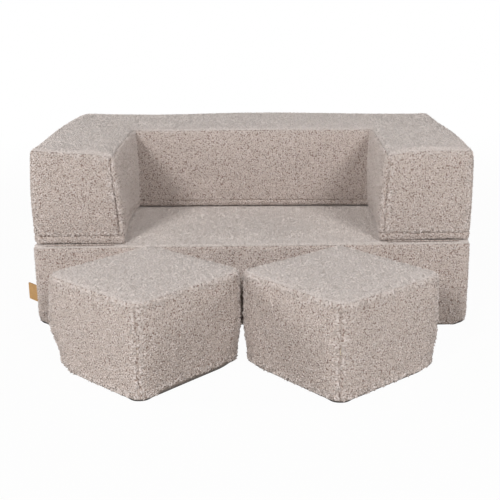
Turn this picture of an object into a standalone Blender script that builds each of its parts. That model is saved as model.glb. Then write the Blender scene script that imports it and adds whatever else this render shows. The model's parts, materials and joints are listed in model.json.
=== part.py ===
"""Kids fold-out sofa: a foam base slab, a U-shaped back-and-arms block that folds
forward over its front edge, and two loose square poufs that fill the opening.

Metres, +Z up. The origin is the middle of the base's underside. The sofa faces -Y and
its left arm is at -X.
"""
import math

import bmesh
import bpy
from mathutils import Matrix, Vector

# Sofa
WIDTH = 1.000
DEPTH = 0.620
BASE_HEIGHT = 0.210
UPPER_HEIGHT = 0.209
SEAT_WIDTH = 0.604
BACK_DEPTH = 0.283
FRONT_SETBACK = 0.001

# Poufs
POUF_SIDE = 0.300
POUF_HEIGHT = 0.2055
POUF_LEFT_X = -0.2175
POUF_LEFT_AHEAD = 0.2070
POUF_LEFT_TURN = math.radians(48.5)
POUF_RIGHT_X = 0.1935
POUF_RIGHT_AHEAD = 0.2130
POUF_RIGHT_TURN = math.radians(41.6)
POUF_SIDE_CLEARANCE = 0.001
POUF_BACK_CLEARANCE = 0.003

# Cover fabric and foam
FABRIC = 0.0016
FOAM_FIT = 0.0008
SEAM_GAP = 0.0005
JOINT_GAP = 0.0004
FOAM_JOINT = 0.0004

# Rounded vertical edges
OUTER_EDGE_RADIUS = 0.022
ARM_INNER_EDGE_RADIUS = 0.014
SEAT_CORNER_RADIUS = 0.012
POUF_EDGE_RADIUS = 0.015

# Rounded horizontal edges
TOP_ROUND = 0.012
JOINT_ROUND = 0.005
FLOOR_ROUND = 0.020
POUF_TOP_ROUND = 0.008
POUF_FLOOR_ROUND = 0.014

# Crown of the flat faces and how far the sides draw in towards the seams
TOP_CROWN = 0.004
JOINT_CROWN = 0.001
CROWN_REACH = 0.080
SIDE_DRAW_TOP = 0.003
SIDE_DRAW_JOINT_UPPER = 0.005
SIDE_DRAW_JOINT_BASE = 0.002
SIDE_DRAW_FLOOR = 0.007
SIDE_REACH = 0.070
CORNER_DRAW = 0.25

# Seams
SEAM_INSET = 0.018
BASE_TOP_SEAM = 0.007
FLOOR_SEAM = 0.0085
POUF_FLOOR_SEAM = 0.006
BASE_FRONT_SEAM = 0.027
POUF_TOP_SEAM = 0.004

# Zips
ZIP_WIDTH = 0.005
BASE_ZIP_LENGTH = 0.700
UPPER_ZIP_LENGTH = 0.700
POUF_ZIP_LENGTH = 0.200
SLIDER_LENGTH = 0.009
SLIDER_WIDTH = 0.0065
SLIDER_THICKNESS = 0.0024
SLIDER_GAP = 0.0004
SLIDER_END = 0.004
PULL_LENGTH = 0.016
PULL_WIDTH = 0.004
PULL_THICKNESS = 0.0012

# Leather tag
TAG_HEIGHT = 0.040
TAG_CENTRE_Z = 0.070
TAG_LEATHER = 0.0012
TAG_BEND_RADIUS = 0.0009
TAG_REACH_OUT = 0.040
TAG_SWEEP_BACK = 0.039
TAG_GAP = 0.0004

# Hinge seam roll at the front edge of the joint
HINGE_ROLL_CLEARANCE = 0.0004
HINGE_ROLL_END = 0.012
HINGE_ROLL_SIDES = 12

CORNER_STEPS = 3
EDGE_STEPS = 2

HINGE_Z = BASE_HEIGHT
HALF_WIDTH = WIDTH / 2
HALF_SEAT = SEAT_WIDTH / 2
FRONT_Y = -DEPTH / 2
BACK_Y = DEPTH / 2
SEAT_BACK_Y = BACK_Y - BACK_DEPTH
BASE_FRONT_SEAM_Y = FRONT_Y + BASE_FRONT_SEAM
SKIN = FABRIC + FOAM_FIT
HINGE_AXIS = Vector((0.0, FRONT_Y, HINGE_Z))

MATERIALS = {
    "boucle_cover": ((0.470, 0.398, 0.350), 0.95, 0.0),
    "boucle_top": ((0.510, 0.450, 0.405), 0.95, 0.0),
    "foam": ((0.86, 0.80, 0.60), 0.9, 0.0),
    "underside_cloth": ((0.090, 0.085, 0.085), 0.9, 0.0),
    "zip_tape": ((0.070, 0.066, 0.068), 0.75, 0.0),
    "zip_slider": ((0.30, 0.28, 0.26), 0.4, 1.0),
    "leather": ((0.434, 0.254, 0.098), 0.55, 0.0),
}


def clear_scene():
    """Remove every object of the scene that the script starts in."""
    for obj in list(bpy.data.objects):
        bpy.data.objects.remove(obj, do_unlink=True)


def material(name):
    """Return the named Principled material."""
    found = bpy.data.materials.get(name)
    if found:
        return found
    color, roughness, metallic = MATERIALS[name]
    made = bpy.data.materials.new(name)
    made.use_nodes = True
    shader = made.node_tree.nodes["Principled BSDF"]
    shader.inputs["Base Color"].default_value = (*color, 1.0)
    shader.inputs["Roughness"].default_value = roughness
    shader.inputs["Metallic"].default_value = metallic
    made.diffuse_color = (*color, 1.0)
    return made


def make_empty(name, location, turn=0.0):
    """Add an empty that stands on a joint's axis and carries a body's pieces."""
    empty = bpy.data.objects.new(name, None)
    empty.location = location
    empty.rotation_euler = (0.0, 0.0, turn)
    empty.empty_display_size = 0.05
    bpy.context.scene.collection.objects.link(empty)
    return empty


def make_object(name, bm, slot, parent, offset=(0.0, 0.0, 0.0)):
    """Turn a bmesh into a named object under a parent, with the mesh moved by -offset."""
    bmesh.ops.recalc_face_normals(bm, faces=bm.faces[:])
    bmesh.ops.translate(bm, verts=bm.verts[:], vec=-Vector(offset))
    mesh = bpy.data.meshes.new(name)
    bm.to_mesh(mesh)
    bm.free()
    mesh.materials.append(material(slot))
    obj = bpy.data.objects.new(name, mesh)
    bpy.context.scene.collection.objects.link(obj)
    if parent:
        obj.parent = parent
    return obj


def ease(distance, reach):
    """Rise from 0 at an edge to 1 at the reach, with a level end."""
    t = max(0.0, min(1.0, distance / reach))
    return t * (2.0 - t)


def inset_outline(outline, amount):
    """Move each side of a closed counter-clockwise plan outline inwards."""
    moved = []
    count = len(outline)
    for i in range(count):
        before = Vector(outline[i - 1])
        here = Vector(outline[i])
        after = Vector(outline[(i + 1) % count])
        a = (here - before).normalized()
        b = (after - here).normalized()
        inner_a = Vector((-a.y, a.x))
        inner_b = Vector((-b.y, b.x))
        moved.append(tuple(here + (inner_a + inner_b) * amount))
    return moved


def plan_sides(point, outline):
    """Distance from a plan point to each side of an outline, with the side's outward normal."""
    p = Vector(point)
    found = []
    count = len(outline)
    for i in range(count):
        a = Vector(outline[i])
        b = Vector(outline[(i + 1) % count])
        along = b - a
        t = max(0.0, min(1.0, (p - a).dot(along) / along.length_squared))
        out = Vector((along.y, -along.x)).normalized()
        found.append(((p - (a + along * t)).length, out))
    return found


def stations(start, end, inner, middle):
    """Places across a face where its crown is shaped: near both edges and evenly between."""
    first = start + inner
    last = end - inner
    steps = middle + 1
    return tuple(first + (last - first) * i / steps for i in range(steps + 1))


def is_convex(outline, index):
    """Tell whether an outline's corner turns left."""
    before = Vector(outline[index - 1])
    here = Vector(outline[index])
    after = Vector(outline[(index + 1) % len(outline)])
    a = here - before
    b = after - here
    return a.x * b.y - a.y * b.x > 0


class SoftForm:
    """A foam form with a plan outline, rounded edges, drawn-in sides and crowned faces."""

    def __init__(self, outline, low, high, radii, rounds, crowns, draws, cuts):
        self.outline = outline
        self.low = low
        self.high = high
        self.radii = radii
        self.rounds = rounds
        self.crowns = crowns
        self.draws = draws
        self.cuts = cuts

    def shrunk(self, amount):
        """The same form moved inwards on every side, as the foam lies inside its cover."""
        radii = []
        for i, radius in enumerate(self.radii):
            radii.append(radius - amount if is_convex(self.outline, i) else radius + amount)
        rounds = tuple(value - amount for value in self.rounds)
        return SoftForm(inset_outline(self.outline, amount), self.low + amount, self.high - amount,
                        radii, rounds, self.crowns, self.draws, self.cuts)

    def prism(self):
        """Extrude the outline and round its vertical and horizontal edges."""
        bm = bmesh.new()
        ring = [bm.verts.new((x, y, self.low)) for x, y in self.outline]
        face = bm.faces.new(ring)
        lifted = bmesh.ops.extrude_face_region(bm, geom=[face])
        top = [v for v in lifted["geom"] if isinstance(v, bmesh.types.BMVert)]
        bmesh.ops.translate(bm, verts=top, vec=(0.0, 0.0, self.high - self.low))
        bmesh.ops.recalc_face_normals(bm, faces=bm.faces[:])
        for radius in sorted(set(self.radii), reverse=True):
            corners = [Vector(c) for c, r in zip(self.outline, self.radii) if r == radius]
            uprights = []
            for edge in bm.edges:
                a, b = (v.co for v in edge.verts)
                if abs(a.z - b.z) < 0.5 * (self.high - self.low):
                    continue
                if any((a.xy - corner).length < 1e-6 for corner in corners):
                    uprights.append(edge)
            bmesh.ops.bevel(bm, geom=uprights, offset=radius, offset_type="OFFSET",
                            segments=CORNER_STEPS, profile=0.5, affect="EDGES")
        for level, radius in ((self.low, self.rounds[0]), (self.high, self.rounds[1])):
            rim = [e for e in bm.edges if all(abs(v.co.z - level) < 1e-6 for v in e.verts)]
            bmesh.ops.bevel(bm, geom=rim, offset=radius, offset_type="OFFSET",
                            segments=EDGE_STEPS, profile=0.5, affect="EDGES")
        return bm

    def side_draw(self, height, corner_distance):
        """How far a side lies inside the outline at a height."""
        low_draw, high_draw = self.draws
        swell = 1.0 - CORNER_DRAW * (1.0 - ease(corner_distance, SIDE_REACH * 2))
        at_low = ease(height - self.low, SIDE_REACH) * swell
        at_high = ease(self.high - height, SIDE_REACH) * swell
        return low_draw * (1.0 - at_low) + high_draw * (1.0 - at_high)

    def shift(self, place):
        """How far a point of the plain form moves for the drawn-in sides and the crown."""
        sides = plan_sides(place.xy, self.outline)
        corner = min((place.xy - Vector(c)).length for c in self.outline)
        draw = self.side_draw(place.z, corner)
        move = Vector((0.0, 0.0, 0.0))
        for distance, out in sides:
            move -= out.to_3d() * (draw * (1.0 - ease(distance, CROWN_REACH)))
        rim = 1.0 - ease(min(distance for distance, _ in sides), CROWN_REACH)
        move.z += self.crowns[0] * rim * (1.0 - ease(place.z - self.low, SIDE_REACH))
        move.z -= self.crowns[1] * rim * (1.0 - ease(self.high - place.z, SIDE_REACH))
        return move

    def build(self):
        """Return the closed soft surface."""
        bm = self.prism()
        for axis, places in self.cuts.items():
            normal = Vector((axis == "x", axis == "y", axis == "z"))
            for place in places:
                bmesh.ops.bisect_plane(bm, geom=bm.verts[:] + bm.edges[:] + bm.faces[:],
                                       dist=1e-6, plane_co=normal * place, plane_no=normal)
        bmesh.ops.triangulate(bm, faces=bm.faces[:], quad_method="FIXED", ngon_method="BEAUTY")
        bm.normal_update()
        for vert in bm.verts:
            vert.co += self.shift(vert.co)
        bmesh.ops.recalc_face_normals(bm, faces=bm.faces[:])
        return bm


def slit(bm, point, normal, where=None, gap=SEAM_GAP):
    """Cut a seam gap through the faces chosen by the test, along a plane."""
    normal = Vector(normal).normalized()
    point = Vector(point)
    for side in (-0.5, 0.5):
        faces = [f for f in bm.faces if where is None or where(f)]
        geom = list(dict.fromkeys(g for f in faces for g in (*f.verts, *f.edges, f)))
        bmesh.ops.bisect_plane(bm, geom=geom, dist=1e-6, plane_co=point + normal * gap * side,
                               plane_no=normal)
    inside = []
    for face in bm.faces:
        if where is not None and not where(face):
            continue
        if abs((face.calc_center_median() - point).dot(normal)) < gap * 0.49:
            inside.append(face)
    bmesh.ops.delete(bm, geom=inside, context="FACES")


def islands(bm):
    """Split a surface into its separate pieces, each as a list of faces."""
    left = dict.fromkeys(bm.faces)
    groups = []
    while left:
        first = next(iter(left))
        del left[first]
        stack = [first]
        group = []
        while stack:
            face = stack.pop()
            group.append(face)
            for edge in face.edges:
                for other in edge.link_faces:
                    if other in left:
                        del left[other]
                        stack.append(other)
        groups.append(group)
    return groups


def island_copy(bm, group):
    """Copy one piece of a surface into its own bmesh."""
    made = bmesh.new()
    verts = {}
    for face in group:
        for vert in face.verts:
            if vert not in verts:
                verts[vert] = made.verts.new(vert.co)
    for face in group:
        made.faces.new([verts[v] for v in face.verts])
    return made


def panel(name, bm, slot, parent, offset):
    """Make one cover panel: an open surface that gets the fabric's thickness inwards."""
    bm.normal_update()
    made = bmesh.new()
    mesh = bpy.data.meshes.new("panel")
    bm.to_mesh(mesh)
    bm.free()
    made.from_mesh(mesh)
    bpy.data.meshes.remove(mesh)
    bmesh.ops.translate(made, verts=made.verts[:], vec=-Vector(offset))
    mesh = bpy.data.meshes.new(name)
    made.to_mesh(mesh)
    made.free()
    mesh.materials.append(material(slot))
    obj = bpy.data.objects.new(name, mesh)
    bpy.context.scene.collection.objects.link(obj)
    obj.parent = parent
    thick = obj.modifiers.new("Fabric", "SOLIDIFY")
    thick.thickness = FABRIC
    thick.offset = -1.0
    return obj


def centre_of(group):
    """Area-weighted centre of a list of faces."""
    total = Vector((0.0, 0.0, 0.0))
    area = 0.0
    for face in group:
        a = face.calc_area()
        total += face.calc_center_median() * a
        area += a
    return total / area


def zip_place(group, at_x):
    """Centre and outward normal of a zip strip at one place along it."""
    best = min(group, key=lambda f: abs(f.calc_center_median().x - at_x))
    same = [f for f in group if (f.normal - best.normal).length < 0.9]
    middle = centre_of(group)
    normal = sum((f.normal * f.calc_area() for f in same), Vector((0.0, 0.0, 0.0))).normalized()
    return Vector((at_x, middle.y, middle.z)), normal


def box_bmesh(size, bevel):
    """A small block with softened edges, centred on the origin."""
    bm = bmesh.new()
    bmesh.ops.create_cube(bm, size=1.0)
    bmesh.ops.scale(bm, vec=size, verts=bm.verts[:])
    bmesh.ops.bevel(bm, geom=bm.edges[:], offset=bevel, offset_type="OFFSET", segments=1,
                    profile=0.5, affect="EDGES")
    return bm


def slider_bmesh(place, normal):
    """Zip slider body with its short pull, standing just clear of the zip strip."""
    bm = box_bmesh((SLIDER_LENGTH, SLIDER_WIDTH, SLIDER_THICKNESS), SLIDER_THICKNESS * 0.25)
    arm = box_bmesh((PULL_LENGTH, PULL_WIDTH, PULL_THICKNESS), PULL_THICKNESS * 0.2)
    reach = SLIDER_LENGTH * 0.3 - PULL_LENGTH / 2
    lift = SLIDER_THICKNESS / 2 + PULL_THICKNESS * 0.2
    bmesh.ops.translate(arm, verts=arm.verts[:], vec=(reach, 0.0, lift))
    body = bpy.data.meshes.new("slider_body")
    bm.to_mesh(body)
    bm.free()
    pull = bpy.data.meshes.new("slider_pull")
    arm.to_mesh(pull)
    arm.free()
    whole = join_solids(body, pull)
    out = Vector(normal).normalized()
    along = Vector((1.0, 0.0, 0.0))
    across = out.cross(along).normalized()
    frame = Matrix((along, across, out)).transposed().to_4x4()
    centre = Vector(place) + out * (SLIDER_GAP + SLIDER_THICKNESS / 2)
    bmesh.ops.transform(whole, matrix=Matrix.Translation(centre) @ frame, verts=whole.verts[:])
    return whole


def join_solids(first, second):
    """Union of two closed meshes as one closed bmesh."""
    a = bpy.data.objects.new("first", first)
    b = bpy.data.objects.new("second", second)
    for obj in (a, b):
        bpy.context.scene.collection.objects.link(obj)
    union = a.modifiers.new("Union", "BOOLEAN")
    union.operation = "UNION"
    union.solver = "EXACT"
    union.object = b
    bpy.context.view_layer.update()
    evaluated = a.evaluated_get(bpy.context.evaluated_depsgraph_get())
    bm = bmesh.new()
    bm.from_mesh(evaluated.to_mesh())
    for obj in (a, b):
        bpy.data.objects.remove(obj, do_unlink=True)
    bmesh.ops.remove_doubles(bm, verts=bm.verts[:], dist=0.00001)
    bmesh.ops.recalc_face_normals(bm, faces=bm.faces[:])
    return bm


def foam_piece(name, bm, parent, offset):
    """Make one closed foam block, with every open rim of a cut closed flat."""
    rims = [e for e in bm.edges if e.is_boundary]
    if rims:
        bmesh.ops.holes_fill(bm, edges=rims, sides=0)
    return make_object(name, bm, "foam", parent, offset)


def cut_away(bm, point, normal):
    """Remove what lies on the normal's side of a plane."""
    bmesh.ops.bisect_plane(bm, geom=bm.verts[:] + bm.edges[:] + bm.faces[:], dist=1e-6,
                           plane_co=Vector(point), plane_no=Vector(normal), clear_outer=True)


def divide(bm, point, normal, where):
    """Cut the chosen faces along a plane and keep both sides."""
    geom = list(dict.fromkeys(g for f in bm.faces if where(f) for g in (*f.verts, *f.edges, f)))
    bmesh.ops.bisect_plane(bm, geom=geom, dist=1e-6, plane_co=Vector(point),
                           plane_no=Vector(normal))
    bm.normal_update()


def strip_zip(bm, side_test, low, length):
    """Cut a zip strip out of a side just above its floor seam, with a gap all round."""
    half = length / 2
    top = low + SEAM_GAP / 2 + ZIP_WIDTH
    bm.normal_update()

    def in_side(face):
        return side_test(face) and face.calc_center_median().z < top + FLOOR_ROUND

    def in_length(face):
        return in_side(face) and abs(face.calc_center_median().x) < half

    for place in (-half, half):
        divide(bm, (place, 0.0, 0.0), (1.0, 0.0, 0.0), in_side)
    slit(bm, (0.0, 0.0, top), (0.0, 0.0, 1.0), in_length)
    bm.normal_update()

    def in_strip(face):
        return in_length(face) and face.calc_center_median().z < top

    for place in (-half, half):
        divide(bm, (place * (1.0 - SEAM_GAP / half), 0.0, 0.0), (1.0, 0.0, 0.0), in_strip)
    ends = []
    for face in bm.faces:
        if in_strip(face) and abs(face.calc_center_median().x) > half - SEAM_GAP * 0.9:
            ends.append(face)
    bmesh.ops.delete(bm, geom=ends, context="FACES")
    bm.normal_update()
    return in_strip


def top_ring_bottom(bm, low_seam, high_seam):
    """Cut a cover surface along its two level seams."""
    slit(bm, (0.0, 0.0, high_seam), (0.0, 0.0, 1.0))
    slit(bm, (0.0, 0.0, low_seam), (0.0, 0.0, 1.0))


def base_form():
    """Form of the base slab's cover."""
    front = FRONT_Y + FRONT_SETBACK
    outline = [(-HALF_WIDTH, front), (HALF_WIDTH, front),
               (HALF_WIDTH, BACK_Y), (-HALF_WIDTH, BACK_Y)]
    inner = (OUTER_EDGE_RADIUS + CROWN_REACH) / 2
    xs = stations(-HALF_WIDTH, HALF_WIDTH, inner, 3)
    ys = stations(front, BACK_Y, inner, 2)
    zs = (BASE_HEIGHT * 0.24, BASE_HEIGHT * 0.5, BASE_HEIGHT * 0.8)
    return SoftForm(outline, 0.0, BASE_HEIGHT - JOINT_GAP / 2, [OUTER_EDGE_RADIUS] * 4,
                    (FLOOR_ROUND, JOINT_ROUND), (0.0, JOINT_CROWN),
                    (SIDE_DRAW_FLOOR, SIDE_DRAW_JOINT_BASE), {"x": xs, "y": ys, "z": zs})


def upper_form():
    """Form of the cover of the U-shaped back and arms."""
    front = FRONT_Y + FRONT_SETBACK
    outline = [(-HALF_WIDTH, front), (-HALF_SEAT, front),
               (-HALF_SEAT, SEAT_BACK_Y), (HALF_SEAT, SEAT_BACK_Y),
               (HALF_SEAT, front), (HALF_WIDTH, front),
               (HALF_WIDTH, BACK_Y), (-HALF_WIDTH, BACK_Y)]
    radii = [OUTER_EDGE_RADIUS, ARM_INNER_EDGE_RADIUS, SEAT_CORNER_RADIUS, SEAT_CORNER_RADIUS,
             ARM_INNER_EDGE_RADIUS, OUTER_EDGE_RADIUS, OUTER_EDGE_RADIUS, OUTER_EDGE_RADIUS]
    low = BASE_HEIGHT + JOINT_GAP / 2
    high = BASE_HEIGHT + UPPER_HEIGHT
    inner = (OUTER_EDGE_RADIUS + CROWN_REACH) / 2
    arm = stations(HALF_SEAT, HALF_WIDTH, inner, 0)
    seat = stations(-HALF_SEAT, HALF_SEAT, inner, 1)
    xs = tuple(-x for x in arm) + (-HALF_SEAT,) + seat + (HALF_SEAT,) + arm
    arm_ys = (FRONT_Y + inner, (FRONT_Y + SEAT_BACK_Y) / 2, SEAT_BACK_Y)
    ys = arm_ys + stations(SEAT_BACK_Y, BACK_Y, inner, 0)
    zs = (low + UPPER_HEIGHT * 0.22, low + UPPER_HEIGHT * 0.5, low + UPPER_HEIGHT * 0.78)
    return SoftForm(outline, low, high, radii, (JOINT_ROUND, TOP_ROUND),
                    (JOINT_CROWN, TOP_CROWN), (SIDE_DRAW_JOINT_UPPER, SIDE_DRAW_TOP),
                    {"x": xs, "y": ys, "z": zs})


def pouf_form():
    """Form of a pouf's cover, centred on its own axis."""
    half = POUF_SIDE / 2
    outline = [(-half, -half), (half, -half), (half, half), (-half, half)]
    near = stations(-half, half, (POUF_EDGE_RADIUS + CROWN_REACH) / 2, 1)
    levels = (POUF_HEIGHT * 0.25, POUF_HEIGHT * 0.5, POUF_HEIGHT * 0.78)
    return SoftForm(outline, 0.0, POUF_HEIGHT, [POUF_EDGE_RADIUS] * 4,
                    (POUF_FLOOR_ROUND, POUF_TOP_ROUND), (0.0, TOP_CROWN),
                    (SIDE_DRAW_FLOOR, SIDE_DRAW_TOP),
                    {"x": near, "y": near, "z": levels})


def build_base(parent):
    """Model the base slab: foam, cover panels, zip and leather tag."""
    form = base_form()
    origin = (0.0, 0.0, 0.0)
    foam_piece("base_foam_block", form.shrunk(SKIN).build(), parent, origin)

    cover = form.build()
    top_seam = form.high - BASE_TOP_SEAM
    top_ring_bottom(cover, FLOOR_SEAM, top_seam)

    def ring(face):
        return FLOOR_SEAM < face.calc_center_median().z < top_seam

    slit(cover, (0.0, BASE_FRONT_SEAM_Y, 0.0), (0.0, 1.0, 0.0), ring)

    def at_back(face):
        return ring(face) and face.calc_center_median().y > BACK_Y - FLOOR_ROUND * 1.6 \
            and abs(face.normal.x) < 0.2

    in_strip = strip_zip(cover, at_back, FLOOR_SEAM, BASE_ZIP_LENGTH)
    slider = None
    for group in islands(cover):
        middle = centre_of(group)
        if all(in_strip(f) for f in group):
            place, normal = zip_place(group, -BASE_ZIP_LENGTH / 2 + SLIDER_END + SLIDER_LENGTH)
            slider = slider_bmesh(place, normal)
            panel("base_zip_tape", island_copy(cover, group), "zip_tape", parent, origin)
        elif middle.z > top_seam:
            panel("base_cover_top_panel", island_copy(cover, group), "boucle_top", parent, origin)
        elif middle.z < FLOOR_SEAM:
            panel("base_cover_bottom_panel", island_copy(cover, group), "underside_cloth",
                  parent, origin)
        elif middle.y < BASE_FRONT_SEAM_Y:
            panel("base_cover_front_panel", island_copy(cover, group), "boucle_cover",
                  parent, origin)
        else:
            panel("base_cover_side_band", island_copy(cover, group), "boucle_cover",
                  parent, origin)
    cover.free()
    make_object("base_zip_slider", slider, "zip_slider", parent, origin)
    build_tag(form, parent)


def build_tag(form, parent):
    """Model the leather loop tag that is sewn into the base's front left seam."""
    draw = min(form.side_draw(TAG_CENTRE_Z + half, BASE_FRONT_SEAM)
               for half in (-TAG_HEIGHT / 2, TAG_HEIGHT / 2))
    start = Vector((-HALF_WIDTH + draw - TAG_GAP - TAG_LEATHER * 0.2, BASE_FRONT_SEAM_Y))
    along = Vector((-TAG_REACH_OUT, TAG_SWEEP_BACK))
    length = along.length
    along.normalize()
    across = Vector((-along.y, along.x))
    outer = TAG_BEND_RADIUS + TAG_LEATHER
    outline = []
    steps = 6
    for radius, order in ((outer, range(steps + 1)), (TAG_BEND_RADIUS, range(steps, -1, -1))):
        arc = []
        for i in order:
            angle = -math.pi / 2 + math.pi * i / steps
            reach = length - outer + radius * math.cos(angle)
            arc.append(along * reach + across * (radius * math.sin(angle)))
        foot = [across * (-radius), across * radius]
        if radius == outer:
            outline += [foot[0]] + arc + [foot[1]]
        else:
            outline += [foot[1]] + arc + [foot[0]]
    bm = bmesh.new()
    ring = []
    for point in outline:
        x, y = start + point
        x = min(x, start.x)
        ring.append(bm.verts.new((x, y, TAG_CENTRE_Z - TAG_HEIGHT / 2)))
    face = bm.faces.new(ring)
    lifted = bmesh.ops.extrude_face_region(bm, geom=[face])
    top = [v for v in lifted["geom"] if isinstance(v, bmesh.types.BMVert)]
    bmesh.ops.translate(bm, verts=top, vec=(0.0, 0.0, TAG_HEIGHT))
    make_object("base_tag_loop", bm, "leather", parent)


def hinge_roll_radius():
    """Largest roll that clears the rounded front edges of both blocks around the axis."""
    room = HINGE_Z
    axis = HINGE_AXIS.yz
    for form in (base_form(), upper_form()):
        bm = form.build()
        for edge in bm.edges:
            a, b = (v.co.yz - axis for v in edge.verts)
            along = b - a
            share = 0.0
            if along.length_squared > 0.0:
                share = max(0.0, min(1.0, -a.dot(along) / along.length_squared))
            room = min(room, (a + along * share).length)
        bm.free()
    return room - HINGE_ROLL_CLEARANCE


def build_hinge(parent):
    """Model the sewn seam roll on the fold axis under each arm's front edge."""
    radius = hinge_roll_radius()
    inner = HALF_SEAT + HINGE_ROLL_END
    outer = HALF_WIDTH - OUTER_EDGE_RADIUS
    for side, name in ((-1, "hinge_roll_left"), (1, "hinge_roll_right")):
        bm = bmesh.new()
        turn = Matrix.Rotation(math.pi / 2, 4, "Y")
        middle = Vector((side * (inner + outer) / 2, FRONT_Y, HINGE_Z))
        bmesh.ops.create_cone(bm, cap_ends=True, segments=HINGE_ROLL_SIDES, radius1=radius,
                              radius2=radius, depth=outer - inner,
                              matrix=Matrix.Translation(middle) @ turn)
        caps = [e for e in bm.edges if len({len(f.verts) for f in e.link_faces}) > 1]
        bmesh.ops.bevel(bm, geom=caps, offset=radius * 0.4, offset_type="OFFSET", segments=1,
                        profile=0.5, affect="EDGES")
        make_object(name, bm, "boucle_cover", parent, HINGE_AXIS)


def build_upper(parent, offset):
    """Model the back and arms: three foam blocks, cover panels and zip."""
    form = upper_form()
    core = form.shrunk(SKIN)
    split = HALF_SEAT + SKIN - FOAM_JOINT
    for side, name in ((-1, "arm_foam_left"), (1, "arm_foam_right")):
        bm = core.build()
        cut_away(bm, (side * split, 0.0, 0.0), (-side, 0.0, 0.0))
        foam_piece(name, bm, parent, offset)
    bm = core.build()
    for side in (-1, 1):
        cut_away(bm, (side * (split - FOAM_JOINT), 0.0, 0.0), (side, 0.0, 0.0))
    foam_piece("back_foam_block", bm, parent, offset)

    cover = form.build()
    low_seam = form.low + SEAM_INSET
    high_seam = form.high - SEAM_INSET
    top_ring_bottom(cover, low_seam, high_seam)

    def ring(face):
        return low_seam < face.calc_center_median().z < high_seam

    def at_front(face):
        return ring(face) and face.calc_center_median().y < FRONT_Y + OUTER_EDGE_RADIUS

    for side in (-1, 1):
        for place in (HALF_SEAT + SEAM_INSET, HALF_WIDTH - SEAM_INSET - 0.006):
            slit(cover, (side * place, 0.0, 0.0), (1.0, 0.0, 0.0), at_front)

    def at_seat_back(face):
        centre = face.calc_center_median()
        return ring(face) and abs(centre.x) < HALF_SEAT + SEAT_CORNER_RADIUS * 2 \
            and SEAT_BACK_Y - SEAT_CORNER_RADIUS * 2 < centre.y < SEAT_BACK_Y + SEAT_CORNER_RADIUS * 2

    for side in (-1, 1):
        slit(cover, (side * (HALF_SEAT - SEAT_CORNER_RADIUS * 1.5), 0.0, 0.0), (1.0, 0.0, 0.0),
             at_seat_back)

    def at_back(face):
        return ring(face) and face.calc_center_median().y > BACK_Y - OUTER_EDGE_RADIUS \
            and abs(face.normal.x) < 0.2

    in_strip = strip_zip(cover, at_back, low_seam, UPPER_ZIP_LENGTH)
    slider = None
    for group in islands(cover):
        middle = centre_of(group)
        if all(in_strip(f) for f in group):
            place, normal = zip_place(group, -UPPER_ZIP_LENGTH / 2 + SLIDER_END + SLIDER_LENGTH)
            slider = slider_bmesh(place, normal)
            name, slot = "upper_zip_tape", "zip_tape"
        elif middle.z > high_seam:
            name, slot = "upper_cover_top_panel", "boucle_top"
        elif middle.z < low_seam:
            name, slot = "upper_cover_bottom_panel", "boucle_cover"
        elif middle.y < FRONT_Y + OUTER_EDGE_RADIUS:
            name = "arm_front_panel_left" if middle.x < 0 else "arm_front_panel_right"
            slot = "boucle_cover"
        elif abs(middle.x) > HALF_SEAT * 0.8 and middle.y < SEAT_BACK_Y:
            name = "arm_inner_panel_left" if middle.x < 0 else "arm_inner_panel_right"
            slot = "boucle_cover"
        elif middle.y < SEAT_BACK_Y + SEAT_CORNER_RADIUS * 2:
            name, slot = "backrest_front_panel", "boucle_cover"
        else:
            name, slot = "upper_cover_outer_band", "boucle_cover"
        panel(name, island_copy(cover, group), slot, parent, offset)
    cover.free()
    make_object("upper_zip_slider", slider, "zip_slider", parent, offset)


def build_pouf(side_name, parent, offset, zip_side):
    """Model one pouf: foam cube, top, four sides, underside and zip."""
    form = pouf_form()
    half = POUF_SIDE / 2

    def local(bm):
        bmesh.ops.rotate(bm, cent=(0.0, 0.0, 0.0), verts=bm.verts[:],
                         matrix=Matrix.Rotation(zip_side, 3, "Z"))
        return bm

    foam = local(form.shrunk(SKIN).build())
    foam_piece(f"pouf_{side_name}_foam", foam, parent, offset)
    cover = form.build()
    high_seam = form.high - POUF_TOP_SEAM
    top_ring_bottom(cover, POUF_FLOOR_SEAM, high_seam)

    def ring(face):
        return POUF_FLOOR_SEAM < face.calc_center_median().z < high_seam

    for lean in (-1.0, 1.0):
        slit(cover, (0.0, 0.0, 0.0), (1.0, lean, 0.0), ring)

    def at_front(face):
        return ring(face) and face.calc_center_median().y < -half + POUF_FLOOR_ROUND * 1.6 \
            and abs(face.normal.x) < 0.2

    in_strip = strip_zip(cover, at_front, POUF_FLOOR_SEAM, POUF_ZIP_LENGTH)
    slider = None
    for group in islands(cover):
        middle = centre_of(group)
        copy = local(island_copy(cover, group))
        if all(in_strip(f) for f in group):
            place, normal = zip_place(group, POUF_ZIP_LENGTH / 2 - SLIDER_END - SLIDER_LENGTH)
            slider = slider_bmesh(place, normal)
            name, slot = "zip_tape", "zip_tape"
        elif middle.z > high_seam:
            name, slot = "top_panel", "boucle_top"
        elif middle.z < POUF_FLOOR_SEAM:
            name, slot = "bottom_panel", "underside_cloth"
        else:
            turned = Matrix.Rotation(zip_side, 3, "Z") @ middle
            if abs(turned.x) > abs(turned.y):
                name = "side_panel_east" if turned.x > 0 else "side_panel_west"
            else:
                name = "side_panel_north" if turned.y > 0 else "side_panel_south"
            slot = "boucle_cover"
        panel(f"pouf_{side_name}_{name}", copy, slot, parent, offset)
    cover.free()
    make_object(f"pouf_{side_name}_zip_slider", local(slider), "zip_slider", parent, offset)


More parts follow.
